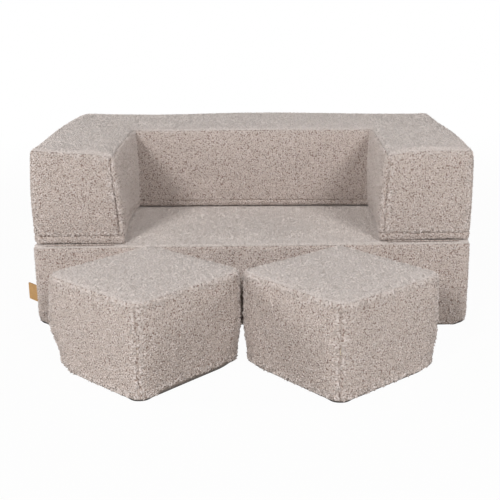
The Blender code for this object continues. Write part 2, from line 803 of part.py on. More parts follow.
def pouf_motion(centre, turn, side):
    """Pole and angle that carry a pouf from its standing place into the folded bed."""
    opening = SEAT_BACK_Y - FRONT_Y
    goal = Vector((side * (POUF_SIDE / 2 + POUF_SIDE_CLEARANCE),
                   FRONT_Y - (opening - POUF_SIDE / 2 - POUF_BACK_CLEARANCE)))
    angle = math.pi / 2 - turn
    start = Vector(centre)
    c, s = math.cos(angle), math.sin(angle)
    det = (1 - c) ** 2 + s ** 2
    rx = goal.x - (c * start.x - s * start.y)
    ry = goal.y - (s * start.x + c * start.y)
    pole = Vector((((1 - c) * rx - s * ry) / det, (s * rx + (1 - c) * ry) / det))
    return pole, angle


def main():
    """Build every sub-part and print the joints' places."""
    clear_scene()
    root = make_empty("base_root", (0.0, 0.0, 0.0))
    build_base(root)
    hinge = make_empty("hinge_axis", HINGE_AXIS)
    build_hinge(hinge)
    build_upper(hinge, HINGE_AXIS)
    for name, centre, turn, side, zip_side in (
            ("left", (POUF_LEFT_X, FRONT_Y - POUF_LEFT_AHEAD), POUF_LEFT_TURN, -1, 0.0),
            ("right", (POUF_RIGHT_X, FRONT_Y - POUF_RIGHT_AHEAD), POUF_RIGHT_TURN, 1, math.pi)):
        pole, angle = pouf_motion(centre, turn, side)
        axis = make_empty(f"pouf_{name}_pole", (pole.x, pole.y, 0.0), turn)
        back = Matrix.Rotation(-turn, 2)
        offset = back @ (Vector(centre) - pole)
        build_pouf(name, axis, (-offset.x, -offset.y, 0.0), zip_side)
        print(f"pouf {name}: pole {pole.x:.5f} {pole.y:.5f} angle {math.degrees(angle):.4f}")
    print(f"hinge roll radius {hinge_roll_radius() * 1000:.2f} mm")


main()
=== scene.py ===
"""Looks of a kids fold-out foam sofa in looped fleece, with two loose poufs.

Each foam block is a class. Its cover starts as a plain grid over the block's form, swells in a
short cloth simulation between its pinned seams, and is then cut along those seams into panels.
Geometry Nodes grow the fleece's curls on the panels and lay the zips' coils.
"""

import json
import logging
import math
from collections.abc import Callable
from dataclasses import dataclass, field
from enum import Enum
from typing import ClassVar

import bmesh
import bpy
import numpy as np
from mathutils import Matrix, Vector
from mathutils.kdtree import KDTree

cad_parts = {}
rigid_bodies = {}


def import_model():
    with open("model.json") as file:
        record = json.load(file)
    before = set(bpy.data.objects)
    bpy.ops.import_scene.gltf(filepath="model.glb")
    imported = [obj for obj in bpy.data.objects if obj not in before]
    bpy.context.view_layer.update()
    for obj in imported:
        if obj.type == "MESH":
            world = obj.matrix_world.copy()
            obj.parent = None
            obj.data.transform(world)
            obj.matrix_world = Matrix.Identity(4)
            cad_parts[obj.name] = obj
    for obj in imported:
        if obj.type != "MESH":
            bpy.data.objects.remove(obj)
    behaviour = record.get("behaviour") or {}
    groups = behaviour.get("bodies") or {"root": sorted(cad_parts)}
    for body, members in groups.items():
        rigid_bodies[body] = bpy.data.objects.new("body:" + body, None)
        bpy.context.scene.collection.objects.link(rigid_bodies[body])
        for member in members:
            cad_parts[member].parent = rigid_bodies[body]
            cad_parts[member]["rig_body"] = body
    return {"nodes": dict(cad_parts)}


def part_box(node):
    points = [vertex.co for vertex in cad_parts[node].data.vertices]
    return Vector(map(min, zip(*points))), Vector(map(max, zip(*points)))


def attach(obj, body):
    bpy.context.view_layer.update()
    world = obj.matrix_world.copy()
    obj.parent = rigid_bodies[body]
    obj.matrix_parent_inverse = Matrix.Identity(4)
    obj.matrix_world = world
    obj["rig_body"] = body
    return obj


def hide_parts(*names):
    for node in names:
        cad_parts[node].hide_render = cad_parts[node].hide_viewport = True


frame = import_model()

LOG = logging.getLogger("sofa")
MM = 0.001
CLOTH_FRAMES = 20
LEAST_STEP = 0.0022

Socket = bpy.types.NodeSocket
Tree = bpy.types.NodeTree
Pieces = dict[str, bpy.types.Object]

# The sofa's sizes in metres, as in its solids. The joint lies between the slab and the upper block.

WIDTH, DEPTH = 1.000, 0.620
BASE_HEIGHT, UPPER_HEIGHT = 0.210, 0.209
TOP_Z = BASE_HEIGHT + UPPER_HEIGHT
HALF_WIDTH, HALF_SEAT = WIDTH / 2, 0.302
FRONT_Y, BACK_Y = -DEPTH / 2, DEPTH / 2
PLAIN_FRONT_Y = FRONT_Y + 0.001
SEAT_BACK_Y = BACK_Y - 0.283
FRONT_SEAM_Y = FRONT_Y + 0.027
JOINT_HALF_GAP = 0.0002
JOINT_GIVE = 0.090
DIP_MIDDLE, DIP_SLOPE, DIP_REACH = 0.0065, 0.009, 0.220
POUF_SIDE, POUF_HEIGHT = 0.300, 0.2055
ZIP_WIDTH = 0.005
SEAT_NODE = "base_cover_top_panel"
# Depths behind the seat's front edge over which its painted light is taken back.
SEAT_PAINTED_LIGHT_LEAST_Y, SEAT_PAINTED_LIGHT_FULL_Y = FRONT_Y + 0.004, FRONT_Y + 0.045
POUF_SIDES = ("south", "east", "north", "west")


class Slot(Enum):
    """Material slots of the sofa's record that the pieces made here use."""

    COVER = "boucle_cover"
    TOP = "boucle_top"
    FOAM = "foam"
    UNDERSIDE = "underside_cloth"
    ZIP_TAPE = "zip_tape"
    LEATHER = "leather"


# Nodes


def linear(code: str) -> tuple[float, float, float, float]:
    """Turn an sRGB hex colour into Blender's linear colour.

    Args:
        code: Six hex digits, with or without a leading hash.

    Returns:
        Linear red, green, blue and an alpha of 1.
    """
    digits = code.lstrip("#")
    parts = [int(digits[i:i + 2], 16) / 255.0 for i in (0, 2, 4)]
    return (*(p / 12.92 if p <= 0.04045 else ((p + 0.055) / 1.055) ** 2.4 for p in parts), 1.0)


def add_node(tree: Tree, kind: str, inputs: dict | None = None,
             **settings: object) -> bpy.types.Node:
    """Add one node with its settings and inputs.

    Args:
        tree: Node tree that gets the node.
        kind: Blender's identifier of the node.
        inputs: Input name or number to a constant or to the output socket that feeds it.
        **settings: Properties of the node itself.

    Returns:
        The new node.
    """
    node = tree.nodes.new(kind)
    for name, value in settings.items():
        setattr(node, name, value)
    for key, value in (inputs or {}).items():
        if isinstance(value, bpy.types.NodeSocket):
            tree.links.new(value, node.inputs[key])
        else:
            node.inputs[key].default_value = value
    return node


def out(tree: Tree, kind: str, inputs: dict | None = None, output: int | str = 0,
        **settings: object) -> Socket:
    """Add one node and give one of its outputs.

    Args:
        tree: Node tree that gets the node.
        kind: Blender's identifier of the node.
        inputs: Its inputs, as for add_node.
        output: Name or number of the wanted output.
        **settings: Properties of the node itself.

    Returns:
        The output socket.
    """
    return add_node(tree, kind, inputs, **settings).outputs[output]


def maths(tree: Tree, operation: str, *terms: float | Socket, **settings: object) -> Socket:
    """Add a maths node over numbers and sockets, and give its output."""
    return out(tree, "ShaderNodeMath", dict(enumerate(terms)), operation=operation, **settings)


def ramp(tree: Tree, value: Socket, start: float, end: float, first: float | Socket = 0.0,
         last: float = 1.0, kind: str = "LINEAR") -> Socket:
    """Map a value from one range to another, clamped.

    Args:
        tree: Node tree that gets the node.
        value: The value.
        start: Value where the ramp starts.
        end: Value where it ends.
        first: What it gives at the start.
        last: What it gives at the end.
        kind: How it runs between them.

    Returns:
        The mapped value.
    """
    return out(tree, "ShaderNodeMapRange",
               {"Value": value, "From Min": start, "From Max": end, "To Min": first,
                "To Max": last}, interpolation_type=kind)


def noise(tree: Tree, place: Socket, size_mm: float, output: str = "Fac",
          **inputs: float) -> Socket:
    """Add a noise whose features have a real size, and give its value or colour."""
    return out(tree, "ShaderNodeTexNoise", {"Vector": place, "Scale": 1 / (size_mm * MM), **inputs},
               output)


def cells(tree: Tree, place: Socket, size_mm: float, feature: str = "F1") -> Socket:
    """Add a cell pattern of a real size, and give the distance in it."""
    return out(tree, "ShaderNodeTexVoronoi", {"Vector": place, "Scale": 1 / (size_mm * MM)},
               "Distance", feature=feature)


def seen_share(tree: Tree) -> Socket:
    """Give 1 on rays by which the backdrop is seen itself or in a mirror, and 0 on the rest.

    Args:
        tree: Tree of the backdrop.

    Returns:
        The share.
    """
    path = add_node(tree, "ShaderNodeLightPath").outputs
    seen = maths(tree, "ADD", path["Is Camera Ray"], path["Is Glossy Ray"])
    return maths(tree, "ADD", seen, path["Is Transmission Ray"], use_clamp=True)


def open_tree(name: str, inputs: dict[str, float | str]
              ) -> tuple[Tree, bpy.types.bpy_prop_collection]:
    """Start a Geometry Nodes tree with named inputs and one mesh output.

    Args:
        name: Name of the tree.
        inputs: Input name to its default size, or to its type where it isn't a size.

    Returns:
        The tree and the sockets of its inputs by name.
    """
    tree = bpy.data.node_groups.new(name, "GeometryNodeTree")
    for label, value in inputs.items():
        typed = value if isinstance(value, str) else "Float"
        socket = tree.interface.new_socket(label, in_out="INPUT", socket_type="NodeSocket" + typed)
        if typed == "Float":
            socket.default_value = value
    tree.interface.new_socket("Mesh", in_out="OUTPUT", socket_type="NodeSocketGeometry")
    return tree, add_node(tree, "NodeGroupInput").outputs


def close_tree(tree: Tree, instances: Socket, material: Socket) -> Tree:
    """End a tree by making its instances real and smooth, and giving them their material.

    Args:
        tree: The tree.
        instances: What it has placed.
        material: Material for all of it.

    Returns:
        The finished tree.
    """
    real = out(tree, "GeometryNodeRealizeInstances", {0: instances})
    smooth = out(tree, "GeometryNodeSetShadeSmooth", {0: real})
    dyed = out(tree, "GeometryNodeSetMaterial", {"Geometry": smooth, "Material": material})
    add_node(tree, "NodeGroupOutput", {0: dyed})
    return tree


def grow(tree: Tree, name: str, mesh: bpy.types.Mesh, inputs: dict[str, object]
         ) -> bpy.types.Object:
    """Run a node tree on a mesh and keep the result as a plain mesh.

    Args:
        tree: The node tree.
        name: Name of the new piece.
        mesh: What the tree starts from; it is left as it is.
        inputs: Values of the tree's named inputs.

    Returns:
        The new object at the origin.
    """
    made = link_object(name, mesh.copy())
    nodes = made.modifiers.new("Grow", "NODES")
    nodes.node_group = tree
    sockets = {item.name: item.identifier for item in tree.interface.items_tree
               if item.in_out == "INPUT"}
    for key, value in inputs.items():
        nodes[sockets[key]] = value
    flatten(made)
    return made


# Meshes


def ease(distance: np.ndarray, reach: float) -> np.ndarray:
    """Rise from 0 at an edge to 1 at the reach, with a level end."""
    t = np.clip(distance / reach, 0.0, 1.0)
    return t * (2.0 - t)


def fade(distance: np.ndarray, reach: float) -> np.ndarray:
    """Fall from 1 at an edge to 0 at the reach, with a level end."""
    return 1.0 - ease(distance, reach)


def joint_dip(points: np.ndarray) -> np.ndarray:
    """Find how far the joint has settled: most at the front left, nothing at the back."""
    level = DIP_MIDDLE - DIP_SLOPE * points[:, 0]
    return level * fade(points[:, 1] - FRONT_Y, DIP_REACH)


def under_block(points: np.ndarray, margin: float) -> np.ndarray:
    """Tell which points lie under the upper block, or so far inside its edge round the seat."""
    return (np.abs(points[:, 0]) > HALF_SEAT + margin) | (points[:, 1] > SEAT_BACK_Y + margin)


def points_of(mesh: bpy.types.Mesh) -> np.ndarray:
    """Read a mesh's vertex places as rows of x, y, z."""
    return read_numbers(mesh.vertices, "co", 3, np.float32).reshape(-1, 3).astype(float)


def normals_of(mesh: bpy.types.Mesh) -> np.ndarray:
    """Read a mesh's vertex normals as rows of x, y, z."""
    return read_numbers(mesh.vertex_normals, "vector", 3, np.float32).reshape(-1, 3).astype(float)


def read_numbers(items: bpy.types.bpy_prop_collection, name: str, each: int = 1,
                 kind: type = np.int32) -> np.ndarray:
    """Read one property of all items of a mesh.

    Args:
        items: The mesh's vertices, corners, faces or attribute values.
        name: The property.
        each: Numbers in one item's property.
        kind: Their type.

    Returns:
        The numbers in one row.
    """
    numbers = np.zeros(len(items) * each, kind)
    items.foreach_get(name, numbers)
    return numbers


def set_points(mesh: bpy.types.Mesh, points: np.ndarray) -> None:
    """Write a mesh's vertex places."""
    mesh.vertices.foreach_set("co", points.astype(np.float32).ravel())
    mesh.update()


def set_values(obj: bpy.types.Object, name: str, values: np.ndarray) -> None:
    """Write a number for each vertex of an object's mesh, under a name that nodes can read."""
    held = obj.data.attributes.new(name, "FLOAT", "POINT")
    held.data.foreach_set("value", values.astype(np.float32))


def link_object(name: str, data: bpy.types.ID) -> bpy.types.Object:
    """Make an object of some data and put it into the scene.

    Args:
        name: Name of the object.
        data: Its mesh, light or camera.

    Returns:
        The object at the origin.
    """
    made = bpy.data.objects.new(name, data)
    bpy.context.scene.collection.objects.link(made)
    return made


def mesh_object(name: str, points: np.ndarray, faces: list,
                material: bpy.types.Material | None) -> bpy.types.Object:
    """Make a smooth-shaded mesh object at the origin.

    Args:
        name: Name of the piece.
        points: Vertex places in the sofa's frame, in metres.
        faces: Vertex numbers of each face.
        material: Material of the whole piece, if it has one.

    Returns:
        The linked object.
    """
    mesh = bpy.data.meshes.new(name)
    mesh.from_pydata([tuple(p) for p in points], [], faces)
    mesh.shade_smooth()
    if material:
        mesh.materials.append(material)
    return link_object(name, mesh)


def quad_rows(rows: int, columns: int, closed: bool) -> list[tuple[int, ...]]:
    """List the faces between rows of vertices.

    Args:
        rows: Number of rows.
        columns: Vertices in each.
        closed: Whether each row runs round to its start.

    Returns:
        Vertex numbers of each face.
    """
    return [(r * columns + c, r * columns + (c + 1) % columns,
             (r + 1) * columns + (c + 1) % columns, (r + 1) * columns + c)
            for r in range(rows - 1) for c in range(columns if closed else columns - 1)]


def refine(obj: bpy.types.Object, kind: str = "CATMULL_CLARK") -> None:
    """Give an object one level of subdivision.

    Args:
        obj: The object.
        kind: How the subdivision smooths.
    """
    smooth = obj.modifiers.new("Refine", "SUBSURF")
    smooth.subdivision_type = kind
    smooth.levels = smooth.render_levels = 1


def flatten(obj: bpy.types.Object) -> None:
    """Replace an object's mesh by its evaluated one and drop its modifiers.

    Args:
        obj: The object, which keeps its name.
    """
    graph = bpy.context.evaluated_depsgraph_get()
    mesh = bpy.data.meshes.new_from_object(obj.evaluated_get(graph))
    obj.modifiers.clear()
    old = obj.data
    obj.data = mesh
    bpy.data.meshes.remove(old)
    mesh.name = obj.name


def seam_vertices(mesh: bpy.types.Mesh) -> np.ndarray:
    """Find the vertices where faces of different panels meet.

    Args:
        mesh: A cover whose faces hold their panel number as material index.

    Returns:
        Vertex numbers.
    """
    corners = read_numbers(mesh.loops, "vertex_index")
    numbers = np.repeat(read_numbers(mesh.polygons, "material_index"),
                        read_numbers(mesh.polygons, "loop_total"))
    lowest = np.full(len(mesh.vertices), len(mesh.polygons))
    highest = np.full(len(mesh.vertices), -1)
    np.minimum.at(lowest, corners, numbers)
    np.maximum.at(highest, corners, numbers)
    return np.nonzero(highest > lowest)[0]


def enter(piece: bpy.types.Object, body: str, slot: Slot, node: str | None = None) -> None:
    """Let a piece ride on its body, and stand for its node if it has one.

    Args:
        piece: The piece.
        body: Body that it moves with.
        slot: Not used.
        node: Node of the solids that it replaces.
    """
    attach(piece, body)
    if node:
        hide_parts(node)


# Finishes


@dataclass(frozen=True)
class Finish:
    """A material between a dark and a pale colour, with a fine relief where it has one.

    The edge is the share of the colour that is left at the seat's front edge, where the seat's
    painted light is taken back.
    """

    name: str
    pale: str
    dark: str
    edge: float = 1.0
    relief_mm: float = 0.0
    strength: ClassVar[float] = 0.0
    surface: ClassVar[dict[str, object]] = {}

    def pattern(self, tree: Tree, place: Socket) -> tuple[Socket, Socket]:
        """Give the share of the pale colour and the height; each finish has its own."""
        raise NotImplementedError

    def build(self) -> bpy.types.Material:
        """Make the material.

        Returns:
            The material, with its pattern in the sofa's own places.
        """
        made = bpy.data.materials.new(self.name)
        made.use_nodes = True
        tree = made.node_tree
        shader = tree.nodes["Principled BSDF"]
        for name, value in self.surface.items():
            shader.inputs[name].default_value = value
        place = out(tree, "ShaderNodeTexCoord", output="Object")
        share, height = self.pattern(tree, place)
        shade = out(tree, "ShaderNodeMix", {"A": linear(self.dark), "B": linear(self.pale),
                                            "Factor": share}, "Result", data_type="RGBA")
        # Towards the seat's front edge the colour is scaled down, taking back the seat's painted
        # light.
        if self.edge < 1.0:
            depth = out(tree, "ShaderNodeSeparateXYZ", {0: place}, "Y")
            left = ramp(tree, depth, SEAT_PAINTED_LIGHT_LEAST_Y, SEAT_PAINTED_LIGHT_FULL_Y, self.edge, kind="SMOOTHSTEP")
            shade = out(tree, "ShaderNodeVectorMath", {0: shade, "Scale": left},
                        operation="SCALE")
        tree.links.new(shade, shader.inputs["Base Color"])
        if self.relief_mm:
            bump = out(tree, "ShaderNodeBump", {"Strength": self.strength, "Height": height,
                                                "Distance": self.relief_mm * MM}, "Normal")
            tree.links.new(bump, shader.inputs["Normal"])
        return made


@dataclass(frozen=True)
class FleeceYarn(Finish):
    """Looped polyester fleece, knitted and tumbled until its loops curl.

    The yarn is matte and scatters light, so that curls have pale crowns, and their roots look
    darker and warmer. Each curl has its own tone, and the whole cloth is blotched a little.
    """

    relief_mm: float = 0.3
    fibre_mm: float = 0.9
    strength: ClassVar[float] = 0.4
    surface: ClassVar[dict[str, object]] = {
        "Roughness": 0.92, "Specular IOR Level": 0.2, "Sheen Weight": 0.25,
        "Sheen Roughness": 0.6, "Sheen Tint": linear("#E8DED4")}

    def pattern(self, tree: Tree, place: Socket) -> tuple[Socket, Socket]:
        """Add up the curl's tone, the cloth's blotches and the fibres.

        Args:
            tree: The material's tree.
            place: Where in the sofa each point lies.

        Returns:
            Share of the pale colour, and height.
        """
        tone = out(tree, "ShaderNodeAttribute", output="Fac", attribute_name="tone")
        blotch = noise(tree, place, 45, Detail=2.0)
        fibre = noise(tree, place, self.fibre_mm, Detail=2.0, Roughness=0.6)
        light = maths(tree, "MULTIPLY_ADD", blotch, 0.35, tone)
        fine = maths(tree, "MULTIPLY_ADD", fibre, 0.20, light)
        return ramp(tree, fine, 0.25, 1.25), fibre


@dataclass(frozen=True)
class FleeceGround(Finish):
    """Knitted ground of the fleece with short curls pressed into it.

    Seen between the standing curls: paler lumps and darker gaps, both about a curl wide; the dark
    colour of the gaps is painted shade.
    """

    relief_mm: float = 1.0
    curl_mm: float = 3.4
    strength: ClassVar[float] = 1.0
    surface: ClassVar[dict[str, object]] = {
        "Roughness": 0.95, "Specular IOR Level": 0.15, "Sheen Weight": 0.15,
        "Sheen Roughness": 0.6}

    def pattern(self, tree: Tree, place: Socket) -> tuple[Socket, Socket]:
        """Lay round lumps side by side, bent out of their rows by a few millimetres.

        Args:
            tree: The material's tree.
            place: Where in the sofa each point lies.

        Returns:
            Share of the pale colour, and height.
        """
        twist = noise(tree, place, 9, "Color", Detail=2.0)
        push = out(tree, "ShaderNodeVectorMath", {0: twist, 1: (0.5, 0.5, 0.5)},
                   operation="SUBTRACT")
        bent = out(tree, "ShaderNodeVectorMath", {0: push, 1: (6 * MM,) * 3, 2: place},
                   operation="MULTIPLY_ADD")
        # The dark colour between the lumps is painted shade.
        lump = ramp(tree, cells(tree, bent, self.curl_mm), 0.38, 0.88, 1.0, 0.0, "SMOOTHSTEP")
        return lump, lump


@dataclass(frozen=True)
class WovenCloth(Finish):
    """Plain woven polyester, dull, with threads over and under each other.

    The threads are drawn about twice as coarse as real ones.
    """

    relief_mm: float = 0.3
    thread_mm: float = 0.8
    strength: ClassVar[float] = 0.6
    surface: ClassVar[dict[str, object]] = {"Roughness": 0.85, "Specular IOR Level": 0.3}

    def pattern(self, tree: Tree, place: Socket) -> tuple[Socket, Socket]:
        """Cross two waves one thread wide, on whichever way a face looks.

        Args:
            tree: The material's tree.
            place: Where in the sofa each point lies.

        Returns:
            Share of the pale colour, and height.
        """
        turns = out(tree, "ShaderNodeVectorMath",
                    {0: place, 1: (math.pi / (self.thread_mm * MM),) * 3}, operation="MULTIPLY")
        x, y, z = (maths(tree, "SINE", axis)
                   for axis in add_node(tree, "ShaderNodeSeparateXYZ", {0: turns}).outputs)
        height = ramp(tree, maths(tree, "ADD", z, maths(tree, "MULTIPLY", x, y)), -1.5, 1.5)
        return height, height


@dataclass(frozen=True)
class OpenCellFoam(Finish):
    """Cut polyurethane foam, cream, dead matte, with small open pores."""

    relief_mm: float = 0.5
    pore_mm: float = 1.4
    strength: ClassVar[float] = 0.7
    surface: ClassVar[dict[str, object]] = {"Roughness": 1.0, "Specular IOR Level": 0.1}

    def pattern(self, tree: Tree, place: Socket) -> tuple[Socket, Socket]:
        """Sink the middle of each pore."""
        wall = ramp(tree, cells(tree, place, self.pore_mm), 0.1, 0.5)
        return wall, wall


@dataclass(frozen=True)
class TanLeather(Finish):
    """Drum-dyed tan leather with a natural grain, satin, darker in its creases.

    The grain is drawn coarse enough to show.
    """

    relief_mm: float = 0.15
    grain_mm: float = 0.9
    strength: ClassVar[float] = 0.35
    surface: ClassVar[dict[str, object]] = {"Roughness": 0.55, "Specular IOR Level": 0.4}

    def pattern(self, tree: Tree, place: Socket) -> tuple[Socket, Socket]:
        """Crease the face along the grain, over a soft cloud of the dye.

        Args:
            tree: The material's tree.
            place: Where in the sofa each point lies.

        Returns:
            Share of the pale colour, and height.
        """
        grain = ramp(tree, cells(tree, place, self.grain_mm, "DISTANCE_TO_EDGE"), 0.0, 0.12)
        cloud = noise(tree, place, 9, Detail=4.0)
        return ramp(tree, maths(tree, "MULTIPLY_ADD", cloud, 0.8, grain), 0.2, 1.45), grain


@dataclass(frozen=True)
class CoatedMetal(Finish):
    """Die-cast zinc with a dark satin coat, rubbed pale a little at random."""

    surface: ClassVar[dict[str, object]] = {"Metallic": 1.0, "Roughness": 0.38}

    def pattern(self, tree: Tree, place: Socket) -> tuple[Socket, Socket]:
        """Rub the coat in spots of a few millimetres."""
        worn = ramp(tree, noise(tree, place, 3, Detail=4.0), 0.55, 0.75)
        return worn, worn


@dataclass(frozen=True)
class MouldedNylon(Finish):
    """Extruded nylon monofilament, as zip coils are made of: smooth, satin."""

    surface: ClassVar[dict[str, object]] = {"Roughness": 0.45}

    def pattern(self, tree: Tree, place: Socket) -> tuple[Socket, Socket]:
        """Cloud the colour a little along the zip."""
        cloud = noise(tree, place, 4)
        return cloud, cloud


@dataclass(frozen=True)
class StudioPaper:
    """Matte white paper sweep that the camera sees as near white, with a faint shadow kept."""

    name: str
    colour: str
    shown: float = 0.965
    sweep_m: tuple[float, float] = (1.3, 3.0)

    def build(self) -> bpy.types.Material:
        """Make the floor's paper.

        Returns:
            Paper lifted towards white for camera and mirror rays, wholly so far off.
        """
        made = bpy.data.materials.new(self.name)
        made.use_nodes = True
        tree = made.node_tree
        tree.nodes.clear()
        matte = out(tree, "ShaderNodeBsdfDiffuse", {"Color": linear(self.colour)})
        white = out(tree, "ShaderNodeEmission", {"Color": linear("#FFFFFF"), "Strength": 1.0})
        place = out(tree, "ShaderNodeTexCoord", output="Object")
        far = out(tree, "ShaderNodeVectorMath", {0: place}, "Value", operation="LENGTH")
        lift = ramp(tree, far, *self.sweep_m, self.shown, kind="SMOOTHSTEP")
        share = maths(tree, "MULTIPLY", seen_share(tree), lift)
        mix = out(tree, "ShaderNodeMixShader", {0: share, 1: matte, 2: white})
        add_node(tree, "ShaderNodeOutputMaterial", {"Surface": mix})
        return made


class Finishes:
    """Every material of the sofa, built once."""

    def __init__(self) -> None:
        """Build the materials: for each its pale and its dark colour, as lit in the photo."""
        # The curls make the pale, soft look of the fleece, and the ground its darker gaps, whose
        # dark colour is painted shade between the lumps.
        self.curls = {
            Slot.COVER: FleeceYarn("fleece_yarn_cover", "#D9CEC9", "#CCC0B9").build(),
            # The top's yarn is a copy with a paler dark colour: painted light for faces lit from
            # above.
            Slot.TOP: FleeceYarn("fleece_yarn_top", "#D9D0CB", "#D0C6C1").build()}
        self.panels = {
            Slot.COVER: FleeceGround("fleece_ground_cover", "#CDBFB7", "#8C786E").build(),
            # Tops have paler gaps, less painted shade, as light from above fills them; their relief
            # is shallower.
            Slot.TOP: FleeceGround("fleece_ground_top", "#D2C8C3", "#BEB2AC",
                                   relief_mm=0.6).build(),
            # Dark cloth that nobody sees in use; the tape is dyed to match the fleece.
            Slot.UNDERSIDE: WovenCloth("underside_weave", "#5C5653", "#3E3A38").build(),
            Slot.ZIP_TAPE: WovenCloth("zip_tape_weave", "#B6A99F", "#93877E",
                                      thread_mm=0.6).build(),
            # Cream foam shows only where a cover is opened.
            Slot.FOAM: OpenCellFoam("cut_foam", "#EEE3C2", "#C9B98F").build()}
        # The seat is painted paler, painted light that makes up for the shade the arms and back
        # cast on it; towards its front edge it is scaled back down.
        self.seat_curls = FleeceYarn("fleece_yarn_seat", "#E6DCD7", "#DED4CE", 0.86).build()
        self.seat_ground = FleeceGround("fleece_ground_seat", "#E2D8D2", "#CDC1BA", 0.86,
                                        0.5).build()
        # The one warm accent, the dark sliders and the coil that shades each zip.
        self.leather = TanLeather("tan_leather", "#BE945A", "#94693A").build()
        self.metal = CoatedMetal("dark_zinc", "#8E8880", "#58544F").build()
        self.coil = MouldedNylon("zip_coil_nylon", "#746A63", "#534C47").build()

    def ground(self, node: str, slot: Slot) -> bpy.types.Material:
        """Give the material of a panel."""
        return self.seat_ground if node == SEAT_NODE else self.panels[slot]

    def yarn(self, node: str, slot: Slot) -> bpy.types.Material | None:
        """Give the material of a panel's curls, or None where it has none."""
        return self.seat_curls if node == SEAT_NODE else self.curls.get(slot)


# Forms


class Outline:
    """Closed plan outline of straight sides and rounded right-angled corners."""

    def __init__(self, corners: list[tuple[float, float, float]]) -> None:
        """Lay out the arcs and straights.

        Args:
            corners: Counter-clockwise x, y and radius of each corner, in metres.
        """
        self.runs: list[tuple[float, float, Vector, Vector, float]] = []
        self.middle: list[float] = []
        at = 0.0
        for i, (x, y, radius) in enumerate(corners):
            here = Vector((x, y))
            after = corners[(i + 1) % len(corners)]
            a = (here - Vector(corners[i - 1][:2])).normalized()
            b = (Vector(after[:2]) - here).normalized()
            bend = 1.0 if a.x * b.y - a.y * b.x > 0 else -1.0
            out_way = Vector((a.y, -a.x))
            arc = radius * math.pi / 2
            anchor = here - a * radius - out_way * radius * bend
            self.runs.append((at, arc, anchor, out_way, bend * radius))
            self.middle.append(at + arc / 2)
            at += arc
            start = here + b * radius
            length = (Vector(after[:2]) - b * after[2] - start).length
            self.runs.append((at, length, start, b, 0.0))
            at += length
        self.length = at

    def along(self, side: int, coordinate: float) -> float:
        """Find how far round the outline a coordinate on a straight side lies.

        Args:
            side: Number of the corner that the side starts from.
            coordinate: The x or y that changes along the side.

        Returns:
            Distance round the outline, in metres.
        """
        at, _, start, heading, _ = self.runs[side * 2 + 1]
        axis = 0 if abs(heading.x) > 0.5 else 1
        return at + (coordinate - start[axis]) * heading[axis]

    def sample(self, places: np.ndarray) -> tuple[np.ndarray, np.ndarray]:
        """Sample the outline.

        Args:
            places: Distances round the outline.

        Returns:
            Rows of x, y, and rows of the outward normal.
        """
        spots, normals = [], []
        for place in places:
            s = place % self.length
            at, _, anchor, heading, radius = next(r for r in reversed(self.runs)
                                                  if r[0] <= s + 1e-12)
            if radius:
                normal = Matrix.Rotation((s - at) / radius, 2) @ heading
                spots.append(anchor + normal * radius)
            else:
                normal = Vector((heading.y, -heading.x))
                spots.append(anchor + heading * (s - at))
            normals.append(normal)
        return np.array(spots, float), np.array(normals, float)


def coons(south: np.ndarray, north: np.ndarray, west: np.ndarray, east: np.ndarray) -> np.ndarray:
    """Fill a four-sided patch between its borders.

    Args:
        south: Points from the south-west corner to the south-east one.
        north: Points from the north-west corner to the north-east one.
        west: Points from the south-west corner to the north-west one.
        east: Points from the south-east corner to the north-east one.

    Returns:
        Points by column, row and coordinate.
    """
    u = np.linspace(0.0, 1.0, len(south))[:, None, None]
    v = np.linspace(0.0, 1.0, len(west))[None, :, None]
    ruled = (1 - v) * south[:, None] + v * north[:, None]
    ruled = ruled + (1 - u) * west[None] + u * east[None]
    corners = ((1 - u) * (1 - v) * south[0] + u * (1 - v) * south[-1]
               + (1 - u) * v * north[0] + u * v * north[-1])
    return ruled - corners


@dataclass(frozen=True)
class Sag:
    """A local give of the foam: points near a place move, less and less up to the reach."""

    place: tuple[float, float, float]
    move: tuple[float, float, float]
    reach: float


@dataclass(frozen=True)
class Cut:
    """A panel's slot and its flat size from seam to seam, with its area if it isn't a rectangle."""

    slot: Slot
    width: float
    length: float
    area: float | None = None


